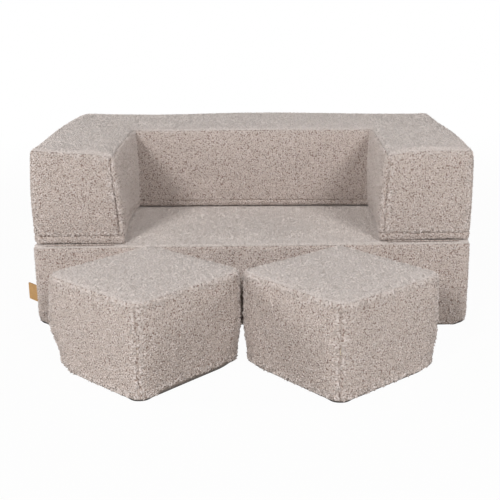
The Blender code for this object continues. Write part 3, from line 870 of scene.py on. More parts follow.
@dataclass
class SoftBlock:
    """A foam block in its sewn cover, standing at a place and a turn in the sofa's frame.

    Pairs are for the lower and the upper edge. Rounds are their radii, crowns how far a face
    stands up in its middle, and draws how far a side is drawn in at a seam. Sinks are how far the
    bottom, the sides and the top start inside the solid, which leaves room to swell. A seam's
    groove has a width, and the cloth piled up beside it a share of the depth, a distance and a
    width.
    """

    body: str
    corners: list[tuple[float, float, float]]
    low: float
    high: float
    rounds: tuple[float, float]
    crowns: tuple[float, float]
    draws: tuple[float, float]
    seam_rows: tuple[float, ...]
    centre: tuple[float, float] = (0.0, 0.0)
    turn: float = 0.0
    sags: tuple[Sag, ...] = ()
    pitch: float = 0.0105
    sinks: tuple[float, float, float] = (0.0, 0.0024, 0.0)
    bulge: float = 0.0
    flare: float = 0.0
    seam_depth: float = 0.0005
    swell_cap: float = 0.0030
    crown_reach: float = 0.080
    side_reach: float = 0.070
    corner_draw: float = 0.25
    allowance: float = 0.004
    tuck: float = 0.0004
    groove: float = 0.0024
    piled: tuple[float, float, float] = (0.5, 0.006, 0.003)
    zip_side: int = 0
    zip_half: float = 0.350
    foams: tuple[str, ...] = ()
    outline: Outline = field(init=False)

    def __post_init__(self) -> None:
        """Make the outline from the corners."""
        self.outline = Outline(self.corners)

    # What differs from block to block

    def column_keys(self) -> tuple[list[tuple[float, int]], int]:
        """Give outline distances with their columns, and the number of columns."""
        raise NotImplementedError

    def patches(self, first: int, line: Callable) -> list[tuple]:
        """Give the borders of a cap's patches as vertex numbers."""
        raise NotImplementedError

    def wall_panel(self, column: int) -> int:
        """Tell which panel a wall's column belongs to."""
        raise NotImplementedError

    def cuts(self) -> dict[str, Cut]:
        """Give each panel's cut by its node, in the order of the panel numbers, zip tape last."""
        raise NotImplementedError

    def seam_depths(self, points: np.ndarray) -> np.ndarray:
        """Tell how deep the seam nearest to each point is drawn in, in metres."""
        return np.full(len(points), self.seam_depth)

    # Grid

    def side_keys(self, side: int, first: int, count: int,
                  marks: dict[float, int | None] | None = None) -> list[tuple[float, int]]:
        """Give one side's column keys, from its first corner's middle up to the next one.

        Args:
            side: Number of the corner that the side starts from.
            first: Column of that corner's middle.
            count: Columns up to the next corner's middle.
            marks: Coordinates that need a column of their own, with the column if it is set.
                Left out, these are the ends of a zip.

        Returns:
            Pairs of outline distance and column.
        """
        if marks is None:
            marks = {-self.zip_half: None, self.zip_half: None}
        start, length = self.outline.runs[side * 2 + 1][:2]
        keys = {2: start, count - 2: start + length}
        for coordinate, column in marks.items():
            at = self.outline.along(side, coordinate)
            if column is None:
                column = 2 + round((count - 4) * (at - start) / length)
            keys[min(max(column, 2), count - 2)] = at
        keys[0] = self.outline.middle[side]
        return [(at, first + column) for column, at in sorted(keys.items())]

    def column_places(self) -> np.ndarray:
        """Place the columns round the outline, and note between which ones the zip lies.

        Returns:
            Outline distance of each column.
        """
        keys, count = self.column_keys()
        columns = {column: at for at, column in keys}
        columns[count] = self.outline.length + self.outline.middle[0]
        ends = [column for column, at in columns.items() for x in (self.zip_half, -self.zip_half)
                if abs(at - self.outline.along(self.zip_side, x)) < 1e-9]
        self.zip_columns = (min(ends), max(ends))
        keys = sorted(columns.items())
        return np.interp(np.arange(count), [k[0] for k in keys], [k[1] for k in keys])

    def panel_of(self, column: int, row: int) -> int:
        """Tell which panel a face of the wall belongs to: 0 is the bottom and 1 the top.

        Args:
            column: Column of the face, from the first corner on.
            row: Its row, from the bottom up.

        Returns:
            Number of the panel.
        """
        foot, zip_top, head = self.row_seams
        if row < foot or row >= head:
            return int(row >= head)
        if row < zip_top and self.zip_columns[0] <= column < self.zip_columns[1]:
            return len(self.cuts()) - 1
        return self.wall_panel(column)

    def profile(self) -> tuple[np.ndarray, list[int]]:
        """Sample the height profile from the lower cap to the upper one.

        Returns:
            Rows of inset and height, and the row numbers of the level seams.
        """
        low_r, high_r = self.rounds
        arcs = (low_r * math.pi / 2, high_r * math.pi / 2)
        total = arcs[0] + self.high - self.low - low_r - high_r + arcs[1]

        def travel(z: float) -> float:
            """Find how far along the profile a height lies.

            Args:
                z: The height.

            Returns:
                Distance along the profile.
            """
            if z < self.low + low_r:
                return low_r * math.acos(1.0 - (z - self.low) / low_r)
            if z > self.high - high_r:
                return total - high_r * math.acos(1.0 - (self.high - z) / high_r)
            return arcs[0] + z - self.low - low_r

        seams = [travel(z) for z in self.seam_rows]
        bends = [arcs[0] / 2, arcs[0], total - arcs[1], total - arcs[1] / 2]
        keys = sorted([0.0, total] + seams
                      + [k for k in bends if min(abs(k - s) for s in seams) > LEAST_STEP])
        steps = [keys[0]]
        for a, b in zip(keys, keys[1:]):
            count = max(1, round((b - a) / self.pitch))
            steps += [a + (b - a) * i / count for i in range(1, count + 1)]
        rows = []
        for t in steps:
            low_turn, high_turn = t / low_r, (total - t) / high_r
            if t < arcs[0]:
                rows.append((low_r * (1 - math.sin(low_turn)),
                             self.low + low_r * (1 - math.cos(low_turn))))
            elif t > total - arcs[1]:
                rows.append((high_r * (1 - math.sin(high_turn)),
                             self.high - high_r * (1 - math.cos(high_turn))))
            else:
                rows.append((0.0, self.low + low_r + t - arcs[0]))
        return np.array(rows), [min(range(len(steps)), key=lambda i, s=s: abs(steps[i] - s))
                                for s in seams]

    def grid(self) -> bpy.types.Object:
        """Build the closed, coarse cover grid.

        Returns:
            The grid, with a panel number as material index on each face.
        """
        places = self.column_places()
        count = len(places)
        spots, normals = self.outline.sample(places)
        profile, self.row_seams = self.profile()
        low, high = self.low + self.sinks[0], self.high - self.sinks[2]
        points, faces = [], quad_rows(len(profile), count, True)
        panels = [self.panel_of(face[0] % count, face[0] // count) for face in faces]
        for inset, z in profile:
            level = low + (z - self.low) * (high - low) / (self.high - self.low)
            points += [(x, y, level) for x, y in spots - normals * (inset + self.sinks[1])]
        for top in (False, True):
            self.cap(points, faces, panels, (len(profile) - 1) * count if top else 0, top)
        made = mesh_object(f"{self.body}_cover_grid", np.array(points), faces, None)
        for _ in self.cuts():
            made.data.materials.append(None)
        made.data.polygons.foreach_set("material_index", panels)
        return made

    def cap(self, points: list, faces: list, panels: list, first: int, top: bool) -> None:
        """Fill the lower or upper cap with patches.

        Args:
            points: Vertex places, which grow.
            faces: Faces, which grow.
            panels: Panel numbers of the faces, which grow.
            first: Vertex number of the cap ring's first column.
            top: Whether it is the upper cap.
        """
        laid: dict[tuple[int, int], list[int]] = {}

        def line(a: int, b: int, steps: int) -> list[int]:
            """Lay an inner grid line between two vertices, once, and list its vertices.

            Args:
                a: Number of the first vertex.
                b: Number of the last one.
                steps: Steps between them.

            Returns:
                The numbers of the line's vertices.
            """
            if (a, b) not in laid:
                start, end = np.array(points[a]), np.array(points[b])
                inner = [start + (end - start) * i / steps for i in range(1, steps)]
                laid[a, b] = [a, *range(len(points), len(points) + steps - 1), b]
                points.extend(tuple(p) for p in inner)
            return laid[a, b]

        for south, north, west, east in self.patches(first, line):
            where = coons(*(np.array([points[i] for i in side])
                            for side in (south, north, west, east)))
            index = np.zeros(where.shape[:2], int)
            inner = where[1:-1, 1:-1].reshape(-1, 3)
            index[1:-1, 1:-1] = np.arange(len(inner)).reshape(index[1:-1, 1:-1].shape) + len(points)
            points.extend(tuple(p) for p in inner)
            index[:, 0], index[:, -1], index[0], index[-1] = south, north, west, east
            quads = np.stack([index[:-1, :-1], index[1:, :-1], index[1:, 1:], index[:-1, 1:]], -1)
            quads = quads.reshape(-1, 4)
            faces.extend(map(tuple, (quads if top else quads[:, ::-1]).tolist()))
            panels.extend([int(top)] * len(quads))

    def rect_patch(self, first: int, wide: int, deep: int) -> tuple:
        """Give the borders of a four-cornered cap.

        Args:
            first: Vertex number of the cap ring's first column.
            wide: Columns of the south and north sides.
            deep: Columns of the east and west sides.

        Returns:
            Vertex numbers of the south, north, west and east borders.
        """
        count = 2 * (wide + deep)
        return ([first + i for i in range(wide + 1)],
                [first + 2 * wide + deep - i for i in range(wide + 1)],
                [first + (count - i) % count for i in range(deep + 1)],
                [first + wide + i for i in range(deep + 1)])

    # Swelling between the seams

    def pin_seams(self, obj: bpy.types.Object) -> None:
        """Pin the cover's seams, and add the cloth that is to swell between them.

        Args:
            obj: The cover grid.
        """
        group = obj.vertex_groups.new(name="sewn")
        group.add([int(i) for i in seam_vertices(obj.data)], 1.0, "REPLACE")
        cloth = obj.modifiers.new("Cloth", "CLOTH")
        values = {"quality": 4, "mass": 0.5, "tension_stiffness": 15.0,
                  "compression_stiffness": 15.0, "shear_stiffness": 8.0,
                  "bending_stiffness": 1.0, "use_pressure": True,
                  "uniform_pressure_force": 4.0, "vertex_group_mass": "sewn"}
        for name, value in values.items():
            setattr(cloth.settings, name, value)
        cloth.settings.effector_weights.gravity = 0.0
        cloth.collision_settings.use_collision = False
        cloth.point_cache.frame_start = 1
        cloth.point_cache.frame_end = CLOTH_FRAMES

    def keep_swelling(self, obj: bpy.types.Object) -> None:
        """Read the swollen cover, cap how far each point moved, and drop the cloth.

        Args:
            obj: The cover grid with its cloth.
        """
        start = points_of(obj.data)
        graph = bpy.context.evaluated_depsgraph_get()
        moved = points_of(obj.evaluated_get(graph).data) - start
        obj.modifiers.clear()
        far = np.maximum(np.linalg.norm(moved, axis=1, keepdims=True), 1e-9)
        set_points(obj.data, start + moved * (np.tanh(far / self.swell_cap) * self.swell_cap / far))

    # Form

    def shift(self, points: np.ndarray) -> np.ndarray:
        """Find how far points move for the drawn-in sides, the crowns and the sags.

        Args:
            points: Places in the block's own frame.

        Returns:
            The move of each point.
        """
        plan = points[:, :2]
        above, below = points[:, 2] - self.low, self.high - points[:, 2]
        corners = np.array([c[:2] for c in self.corners])
        near = np.min(np.linalg.norm(plan[:, None] - corners[None], axis=2), axis=1)
        swell = 1.0 - self.corner_draw * fade(near, self.side_reach * 2)
        draw = (self.draws[0] * (1.0 - ease(above, self.side_reach) * swell)
                + self.draws[1] * (1.0 - ease(below, self.side_reach) * swell))
        share = np.clip(above / (self.high - self.low), 0.0, 1.0)
        draw -= self.bulge * np.sin(math.pi * share)
        move = np.zeros_like(points)
        closest = np.full(len(points), 1e9)
        for i, a in enumerate(corners):
            along = corners[(i + 1) % len(corners)] - a
            t = np.clip((plan - a) @ along / (along @ along), 0.0, 1.0)
            distance = np.linalg.norm(plan - (a + t[:, None] * along), axis=1)
            out_way = np.array([along[1], -along[0]]) / np.linalg.norm(along)
            move[:, :2] -= out_way * (draw * fade(distance, self.crown_reach))[:, None]
            closest = np.minimum(closest, distance)
        x = plan[:, 0]
        move[:, 0] += self.flare * np.sign(x) * fade(HALF_WIDTH - np.abs(x), self.crown_reach)
        rim = fade(closest, self.crown_reach)
        move[:, 2] += self.crowns[0] * rim * fade(above, self.side_reach)
        move[:, 2] -= self.crowns[1] * rim * fade(below, self.side_reach)
        for sag in self.sags:
            share = 1.0 - np.linalg.norm(points - np.array(sag.place), axis=1) / sag.reach
            share = np.clip(share, 0.0, 1.0)
            move += np.array(sag.move) * (share * share * (3.0 - 2.0 * share))[:, None]
        return move

    def press(self, points: np.ndarray) -> np.ndarray:
        """Keep the block's own points on its side of the planes that it rests on or under."""
        points[:, 2] = np.maximum(points[:, 2], self.low + self.sinks[0])
        return points

    def place(self, points: np.ndarray) -> np.ndarray:
        """Turn and move points from the block's own frame to where it stands.

        Args:
            points: Places in the block's own frame.

        Returns:
            Places in the sofa's frame.
        """
        c, s = math.cos(self.turn), math.sin(self.turn)
        x, y, z = points.T
        return np.stack([self.centre[0] + c * x - s * y, self.centre[1] + s * x + c * y, z], axis=1)

    def unplace(self, points: np.ndarray) -> np.ndarray:
        """Bring points from the sofa's frame to the block's own.

        Args:
            points: Places in the sofa's frame.

        Returns:
            Places in the block's own frame.
        """
        c, s = math.cos(self.turn), math.sin(self.turn)
        x, y = points[:, 0] - self.centre[0], points[:, 1] - self.centre[1]
        return np.stack([c * x + s * y, c * y - s * x, points[:, 2]], axis=1)

    def finish_form(self, obj: bpy.types.Object) -> np.ndarray:
        """Refine the cover, draw it to its form and press its seams in.

        Args:
            obj: The cover grid, swollen or not.

        Returns:
            Each vertex's distance from the nearest seam, in metres.
        """
        refine(obj)
        flatten(obj)
        mesh = obj.data
        points = points_of(mesh)
        points += self.shift(points)
        set_points(mesh, points)
        seams = seam_vertices(mesh)
        tree = KDTree(len(seams))
        for i in seams:
            tree.insert(points[i], int(i))
        tree.balance()
        found = [tree.find(p)[1:] for p in points]
        near = np.array([distance for _, distance in found])
        depth = self.seam_depths(points)[[index for index, _ in found]]
        # A narrow groove at the seam, with cloth piled up a little beside it.
        share, middle, width = self.piled
        groove = depth * (share * np.exp(-((near - middle) / width) ** 2)
                          - np.exp(-(near / self.groove) ** 2))
        set_points(mesh, self.press(points + normals_of(mesh) * groove[:, None]))
        return near

    # Panels

    def cut_panels(self, obj: bpy.types.Object, near: np.ndarray, finishes: Finishes) -> Pieces:
        """Cut the finished cover along its seams, and turn each panel's edges in.

        Args:
            obj: The finished cover.
            near: Each vertex's distance from the nearest seam.
            finishes: The sofa's materials.

        Returns:
            The panels by the name of the node that each one stands for.
        """
        mesh = obj.data
        placed = self.place(points_of(mesh))
        turned = self.place(normals_of(mesh)) - self.place(np.zeros((1, 3)))
        numbers = read_numbers(mesh.polygons, "material_index")
        quads = read_numbers(mesh.loops, "vertex_index").reshape(-1, 4)
        made = {}
        for number, (node, cut) in enumerate(self.cuts().items()):
            used, local = np.unique(quads[numbers == number], return_inverse=True)
            local = local.reshape(-1, 4)
            edges = np.concatenate([local[:, [i, (i + 1) % 4]] for i in range(4)])
            _, where, times = np.unique(np.sort(edges, axis=1), axis=0, return_index=True,
                                        return_counts=True)
            border = edges[where[times == 1]]
            rim = np.unique(border)
            own, ways = placed[used], turned[used][rim]
            inward = own.mean(axis=0) - own[rim]
            inward -= ways * np.sum(inward * ways, axis=1)[:, None]
            inward /= np.maximum(np.linalg.norm(inward, axis=1, keepdims=True), 1e-9)
            turned_in = own[rim] - ways * self.allowance + inward * self.tuck
            deeper = np.full(len(used), -1)
            deeper[rim] = np.arange(len(rim)) + len(used)
            a, b = border.T
            skirts = np.stack([b, a, deeper[a], deeper[b]], axis=1)
            panel = mesh_object(node.replace("_cover_", "_").replace("_panel", "") + "_cloth",
                                np.concatenate([own, turned_in]),
                                np.concatenate([local, skirts]).tolist(),
                                finishes.ground(node, cut.slot))
            set_values(panel, "seam_distance",
                       np.concatenate([near[used], np.full(len(rim), -1.0)]))
            enter(panel, self.body, cut.slot, node)
            made[node] = panel
        bpy.data.objects.remove(obj)
        return made

    def declare_cloth(self, panels: Pieces, curls: Pieces) -> None:
        """List the names of the block's foam cores and go through its cuts; no sheet is declared.

        Args:
            panels: Not used.
            curls: Not used.
        """
        cores = [node + "_core" for node in self.foams or (f"{self.body}_foam",)]
        for node, cut in self.cuts().items():
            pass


@dataclass
class BaseSlab(SoftBlock):
    """The slab that stands on the floor, with its leather tag and its zip at the back."""

    body: str = "base"
    corners: list = field(default_factory=lambda: [
        (-HALF_WIDTH, PLAIN_FRONT_Y, 0.014), (HALF_WIDTH, PLAIN_FRONT_Y, 0.014),
        (HALF_WIDTH, BACK_Y, 0.014), (-HALF_WIDTH, BACK_Y, 0.014)])
    low: float = 0.0
    high: float = BASE_HEIGHT - JOINT_HALF_GAP
    rounds: tuple = (0.004, 0.003)
    crowns: tuple = (0.0, 0.0)
    draws: tuple = (-0.002, 0.0)
    sinks: tuple = (0.0003, 0.0024, 0.0010)
    bulge: float = 0.001
    flare: float = 0.007
    seam_depth: float = 0.0002
    sags: tuple = (Sag((-HALF_WIDTH, FRONT_Y, 0.0), (0.009, 0.006, 0.007), 0.032),
                   Sag((HALF_WIDTH, FRONT_Y, 0.0), (-0.009, 0.006, 0.007), 0.034),
                   Sag((HALF_WIDTH, BACK_Y, 0.0), (-0.008, -0.006, 0.008), 0.040),
                   Sag((-HALF_WIDTH, BACK_Y, 0.0), (0.008, -0.006, 0.008), 0.040))
    seam_rows: tuple = (0.004, 0.004 + ZIP_WIDTH, BASE_HEIGHT - JOINT_HALF_GAP - 0.007)
    zip_side: int = 2
    pressed_margin: float = 0.020
    free_rise: float = 0.001
    foams: tuple = ("base_foam_block",)

    def counts(self) -> tuple[int, int]:
        """Columns across and along the slab."""
        return round(WIDTH / self.pitch), round(DEPTH / self.pitch)

    def column_keys(self) -> tuple[list[tuple[float, int]], int]:
        """Give the columns: the zip's ends and the front seams have their own.

        Returns:
            Pairs of outline distance and column, and the number of columns.
        """
        wide, deep = self.counts()
        keys = [*self.side_keys(0, 0, wide), *self.side_keys(1, wide, deep, {FRONT_SEAM_Y: 3}),
                *self.side_keys(2, wide + deep, wide),
                *self.side_keys(3, 2 * wide + deep, deep, {FRONT_SEAM_Y: deep - 3})]
        return keys, 2 * (wide + deep)

    def patches(self, first: int, line: Callable) -> list[tuple]:
        """One four-cornered patch fills the cap."""
        return [self.rect_patch(first, *self.counts())]

    def wall_panel(self, column: int) -> int:
        """Tell the front, which runs round both front corners, from the side band."""
        wide, deep = self.counts()
        return 3 if wide + 3 <= column < 2 * (wide + deep) - 3 else 2

    def cuts(self) -> dict[str, Cut]:
        """Give the slab's panels; the bottom and top turn over its edges a little.

        Returns:
            Cuts by node, in the order of the panel numbers.
        """
        foot, _, head = self.seam_rows
        under, over, side = 2 * foot, 2 * (self.high - head), FRONT_SEAM_Y - FRONT_Y
        band = 2 * (DEPTH - side) + WIDTH
        return {"base_cover_bottom_panel": Cut(Slot.UNDERSIDE, WIDTH + under, DEPTH + under),
                "base_cover_top_panel": Cut(Slot.TOP, WIDTH + over, DEPTH + over),
                "base_cover_front_panel": Cut(Slot.COVER, WIDTH + 2 * side, head - foot),
                "base_cover_side_band": Cut(Slot.COVER, band, head - foot),
                "base_zip_tape": Cut(Slot.ZIP_TAPE, 2 * self.zip_half, ZIP_WIDTH)}

    def shift(self, points: np.ndarray) -> np.ndarray:
        """Let the top settle at the joint's front edge.

        Args:
            points: Places in the block's own frame.

        Returns:
            The move of each point.
        """
        move = super().shift(points)
        move[:, 2] -= joint_dip(points) * fade(self.high - points[:, 2], JOINT_GIVE)
        return move

    def press(self, points: np.ndarray) -> np.ndarray:
        """Keep the slab on the floor and under the joint's plane where the upper block lies.

        Args:
            points: Places in the block's own frame.

        Returns:
            The places that are kept.
        """
        points = super().press(points)
        limit = np.where(under_block(points, -self.pressed_margin),
                         self.high - self.sinks[2], self.high + self.free_rise)
        points[:, 2] = np.minimum(points[:, 2], limit - joint_dip(points))
        return points


@dataclass
class BackAndArms(SoftBlock):
    """The U-shaped block of the back and both arms, which folds over the slab's front edge.

    Its foot spreads at the outer sides, and lifts into a crevice behind the seat: each by how
    much, how far inward and how far up.
    """

    body: str = "upper"
    corners: list = field(default_factory=lambda: [
        (-HALF_WIDTH, PLAIN_FRONT_Y, 0.022), (-HALF_SEAT, PLAIN_FRONT_Y, 0.009),
        (-HALF_SEAT, SEAT_BACK_Y, 0.006), (HALF_SEAT, SEAT_BACK_Y, 0.006),
        (HALF_SEAT, PLAIN_FRONT_Y, 0.009), (HALF_WIDTH, PLAIN_FRONT_Y, 0.016),
        (HALF_WIDTH, BACK_Y, 0.012), (-HALF_WIDTH, BACK_Y, 0.012)])
    low: float = BASE_HEIGHT + JOINT_HALF_GAP
    high: float = TOP_Z
    rounds: tuple = (0.003, 0.013)
    crowns: tuple = (0.0, 0.001)
    draws: tuple = (0.0, 0.0)
    sinks: tuple = (0.0010, 0.0024, 0.0)
    bulge: float = 0.003
    flare: float = 0.0045
    sags: tuple = (Sag((-HALF_WIDTH, FRONT_Y, 0.419), (0.005, 0.0, 0.007), 0.130),
                   Sag((-HALF_WIDTH, -0.020, 0.419), (-0.007, 0.0, 0.006), 0.360),
                   Sag((-HALF_WIDTH, BACK_Y - 0.060, 0.419), (-0.005, 0.001, 0.006), 0.340),
                   Sag((0.0, BACK_Y, 0.419), (0.0, 0.001, 0.006), 0.420),
                   Sag((HALF_WIDTH, -0.100, 0.419), (0.001, 0.0, 0.006), 0.300),
                   Sag((-HALF_SEAT, FRONT_Y, 0.419), (0.000, 0.004, -0.009), 0.075),
                   Sag((HALF_SEAT, FRONT_Y, 0.419), (0.004, 0.004, -0.009), 0.075),
                   Sag((-HALF_SEAT, FRONT_Y, 0.210), (0.013, 0.0, 0.0), 0.200),
                   Sag((HALF_SEAT, FRONT_Y, 0.210), (-0.007, 0.0, 0.0), 0.190))
    seam_rows: tuple = (BASE_HEIGHT + JOINT_HALF_GAP + 0.018,
                        BASE_HEIGHT + JOINT_HALF_GAP + 0.018 + ZIP_WIDTH, TOP_Z - 0.005)
    zip_side: int = 6
    inner_seam: float = HALF_SEAT + 0.012
    spread: tuple[float, float, float] = (0.006, 0.050, 0.035)
    crevice: tuple[float, float, float] = (0.0065, 0.045, 0.022)
    crevice_front: float = 0.006
    crevice_side: float = 0.002
    inner_seam_depths: tuple[float, float] = (0.0034, 0.0015)
    inner_seam_reach: float = 0.012
    inner_seam_back_y: float = -0.28
    inner_seam_ends: tuple[float, float] = (0.021, 0.008)
    foams: tuple = ("arm_foam_left", "arm_foam_right", "back_foam_block")

    def counts(self) -> tuple[int, int, int, int]:
        """Columns across an arm, along its free inner side, behind the seat and across it.

        Returns:
            The four numbers of columns.
        """
        return (round((HALF_WIDTH - HALF_SEAT) / self.pitch),
                round((SEAT_BACK_Y - FRONT_Y) / self.pitch),
                round((BACK_Y - SEAT_BACK_Y) / self.pitch), round(2 * HALF_SEAT / self.pitch))

    def starts(self) -> list[int]:
        """Give the first column of each side round the U, and the number of columns.

        Returns:
            Nine columns.
        """
        arm, free, behind, seat = self.counts()
        deep = free + behind
        return np.cumsum([0, arm, free, seat, free, arm, deep, 2 * arm + seat, deep]).tolist()

    def column_keys(self) -> tuple[list[tuple[float, int]], int]:
        """Give the columns round the U, with one for each upright seam and zip end.

        Returns:
            Pairs of outline distance and column, and the number of columns.
        """
        arm, free, behind, seat = self.counts()
        back = {self.zip_half: None, HALF_SEAT: arm, -HALF_SEAT: arm + seat, -self.zip_half: None}
        marks = [{-self.inner_seam: arm - 2}, {}, {}, {}, {self.inner_seam: 2},
                 {SEAT_BACK_Y: free}, back, {SEAT_BACK_Y: behind}]
        starts = self.starts()
        keys = [key for side, own in enumerate(marks)
                for key in self.side_keys(side, starts[side], starts[side + 1] - starts[side], own)]
        return keys, starts[-1]

    def patches(self, first: int, line: Callable) -> list[tuple]:
        """Fill the cap with three patches: left arm, back, right arm.

        Args:
            first: Vertex number of the cap ring's first column.
            line: Lays an inner grid line between two vertices.

        Returns:
            The south, north, west and east borders of each patch.
        """
        arm, _, behind, seat = self.counts()
        a, b, c, d, e, f, g, j, count = self.starts()
        h, i = g + arm, g + arm + seat

        def run(p: int, q: int) -> list[int]:
            """List the ring's vertices from one column to another, either way round.

            Args:
                p: Column to start from.
                q: Column to end at.

            Returns:
                The vertices' numbers.
            """
            step = 1 if q > p else -1
            return [first + k % count for k in range(p, q + step, step)]

        left_cut, right_cut = line(first + c, first + i, behind), line(first + d, first + h, behind)
        return [(run(a, b), run(j, i), run(count, j), run(b, c) + left_cut[1:]),
                (run(c, d), run(i, h), left_cut, right_cut),
                (run(e, f), run(h, g), run(e, d) + right_cut[1:], run(f, g))]

    def wall_panel(self, column: int) -> int:
        """Tell fronts, inner sides, backrest and outer band apart by their first columns.

        Args:
            column: Column of the face.

        Returns:
            Number of the panel.
        """
        _, b, c, d, e, f, *_ = self.starts()
        ends = {b - 2: 2, c: 4, d: 6, e + 2: 5, f: 3}
        return next((panel for end, panel in ends.items() if column < end), 7)

    def cuts(self) -> dict[str, Cut]:
        """Give the block's panels; the bottom and top are U-shaped and turn over the edges.

        Returns:
            Cuts by node, in the order of the panel numbers.
        """
        low, _, head = self.seam_rows
        free = SEAT_BACK_Y - FRONT_Y
        plan, rim = WIDTH * DEPTH - 2 * HALF_SEAT * free, 2 * (WIDTH + DEPTH + free)
        under, over, tall = low - self.low, self.high - head, head - low
        bottom, top = (Cut(slot, WIDTH + 2 * more, DEPTH + 2 * more,
                           plan + rim * (more + self.allowance))
                       for slot, more in ((Slot.COVER, under), (Slot.TOP, over)))
        front = Cut(Slot.COVER, HALF_WIDTH - self.inner_seam, tall)
        inner = Cut(Slot.COVER, free + self.inner_seam - HALF_SEAT, tall)
        return {"upper_cover_bottom_panel": bottom, "upper_cover_top_panel": top,
                "arm_front_panel_left": front, "arm_front_panel_right": front,
                "arm_inner_panel_left": inner, "arm_inner_panel_right": inner,
                "backrest_front_panel": Cut(Slot.COVER, 2 * HALF_SEAT, tall),
                "upper_cover_outer_band": Cut(Slot.COVER, 2 * DEPTH + WIDTH, tall),
                "upper_zip_tape": Cut(Slot.ZIP_TAPE, 2 * self.zip_half, ZIP_WIDTH)}

    def shift(self, points: np.ndarray) -> np.ndarray:
        """Let the underside follow the slab, spread outwards and lift behind the seat.

        Args:
            points: Places in the block's own frame.

        Returns:
            The move of each point.
        """
        move = super().shift(points)
        above, side = points[:, 2] - self.low, np.abs(points[:, 0])
        move[:, 2] -= joint_dip(points) * fade(above, JOINT_GIVE)
        much, inward, up = self.spread
        move[:, 0] += np.sign(points[:, 0]) * (much * fade(HALF_WIDTH - side, inward)
                                               * fade(above, up))
        much, inward, up = self.crevice
        past = points[:, 1] - SEAT_BACK_Y + self.crevice_front
        edge = fade(past, inward) * (past > 0.0) * fade(above, up)
        move[:, 2] += much * edge * (side < HALF_SEAT + self.crevice_side)
        return move

    def press(self, points: np.ndarray) -> np.ndarray:
        """Keep the block above the joint's plane."""
        points[:, 2] = np.maximum(points[:, 2], self.low + self.sinks[0] - joint_dip(points))
        return points

    def seam_depths(self, points: np.ndarray) -> np.ndarray:
        """Draw the upright seams next to the arms' inner front corners in deepest.

        Args:
            points: Places in the block's own frame.

        Returns:
            Depth of the seam nearest to each point.
        """
        x, y, z = points.T
        upright = np.abs(np.abs(x) - self.inner_seam) < self.inner_seam_reach
        upright &= y < self.inner_seam_back_y
        foot, head = self.inner_seam_ends
        free = (z > self.low + foot) & (z < self.high - head)
        depth = np.where(x < 0.0, *self.inner_seam_depths)
        return np.where(upright & free, depth, self.seam_depth)


@dataclass
class Pouf(SoftBlock):
    """A loose square pouf with a zip at the foot of one side."""

    body: str = "pouf_left"
    corners: list = field(default_factory=lambda: [
        (x * POUF_SIDE / 2, y * POUF_SIDE / 2, 0.026)
        for x, y in ((-1, -1), (1, -1), (1, 1), (-1, 1))])
    low: float = 0.0
    high: float = POUF_HEIGHT
    rounds: tuple = (0.003, 0.008)
    crowns: tuple = (0.0, 0.003)
    draws: tuple = (-0.007, 0.001)
    sinks: tuple = (0.0003, 0.0024, 0.0)
    bulge: float = 0.002
    seam_depth: float = 0.0010
    seam_rows: tuple = (0.0035, 0.0035 + ZIP_WIDTH, POUF_HEIGHT - 0.004)
    zip_half: float = 0.100

    def count(self) -> int:
        """Columns on each side."""
        return round(POUF_SIDE / self.pitch)

    def column_keys(self) -> tuple[list[tuple[float, int]], int]:
        """Give the columns, with the same ones on all four sides.

        Returns:
            Pairs of outline distance and column, and the number of columns.
        """
        count = self.count()
        return [key for side in range(4)
                for key in self.side_keys(side, side * count, count)], 4 * count

    def patches(self, first: int, line: Callable) -> list[tuple]:
        """One four-cornered patch fills the cap."""
        return [self.rect_patch(first, self.count(), self.count())]

    def wall_panel(self, column: int) -> int:
        """Number the four sides from 2 on."""
        return 2 + column // self.count()

    def cuts(self) -> dict[str, Cut]:
        """Give the pouf's panels; the bottom and top turn over its edges a little.

        Returns:
            Cuts by node, in the order of the panel numbers.
        """
        foot, _, head = self.seam_rows
        under, over = POUF_SIDE + 2 * foot, POUF_SIDE + 2 * (self.high - head)
        sides = {f"side_panel_{way}": Cut(Slot.COVER, POUF_SIDE, head - foot)
                 for way in POUF_SIDES}
        cuts = {"bottom_panel": Cut(Slot.UNDERSIDE, under, under),
                "top_panel": Cut(Slot.TOP, over, over), **sides,
                "zip_tape": Cut(Slot.ZIP_TAPE, 2 * self.zip_half, ZIP_WIDTH)}
        return {f"{self.body}_{part}": cut for part, cut in cuts.items()}


# Curls and coils

SEAM_GROWTH = {"pouf_left_top": 0.25, "pouf_right_top": 0.25, "pouf": 0.70, "arm_front": 0.60,
               "arm_inner": 0.50}
PLAIN_SEAM_GROWTH = 0.12
PRESSED_SHARE, TOP_SHARE = 0.30, 0.7
PRESSED_HEIGHT, PRESSED_MARGIN, FREE_FRONT = 0.0025, 0.01, 0.02
CURL_MARGIN, FLOOR_GAP = 0.004, 0.0004


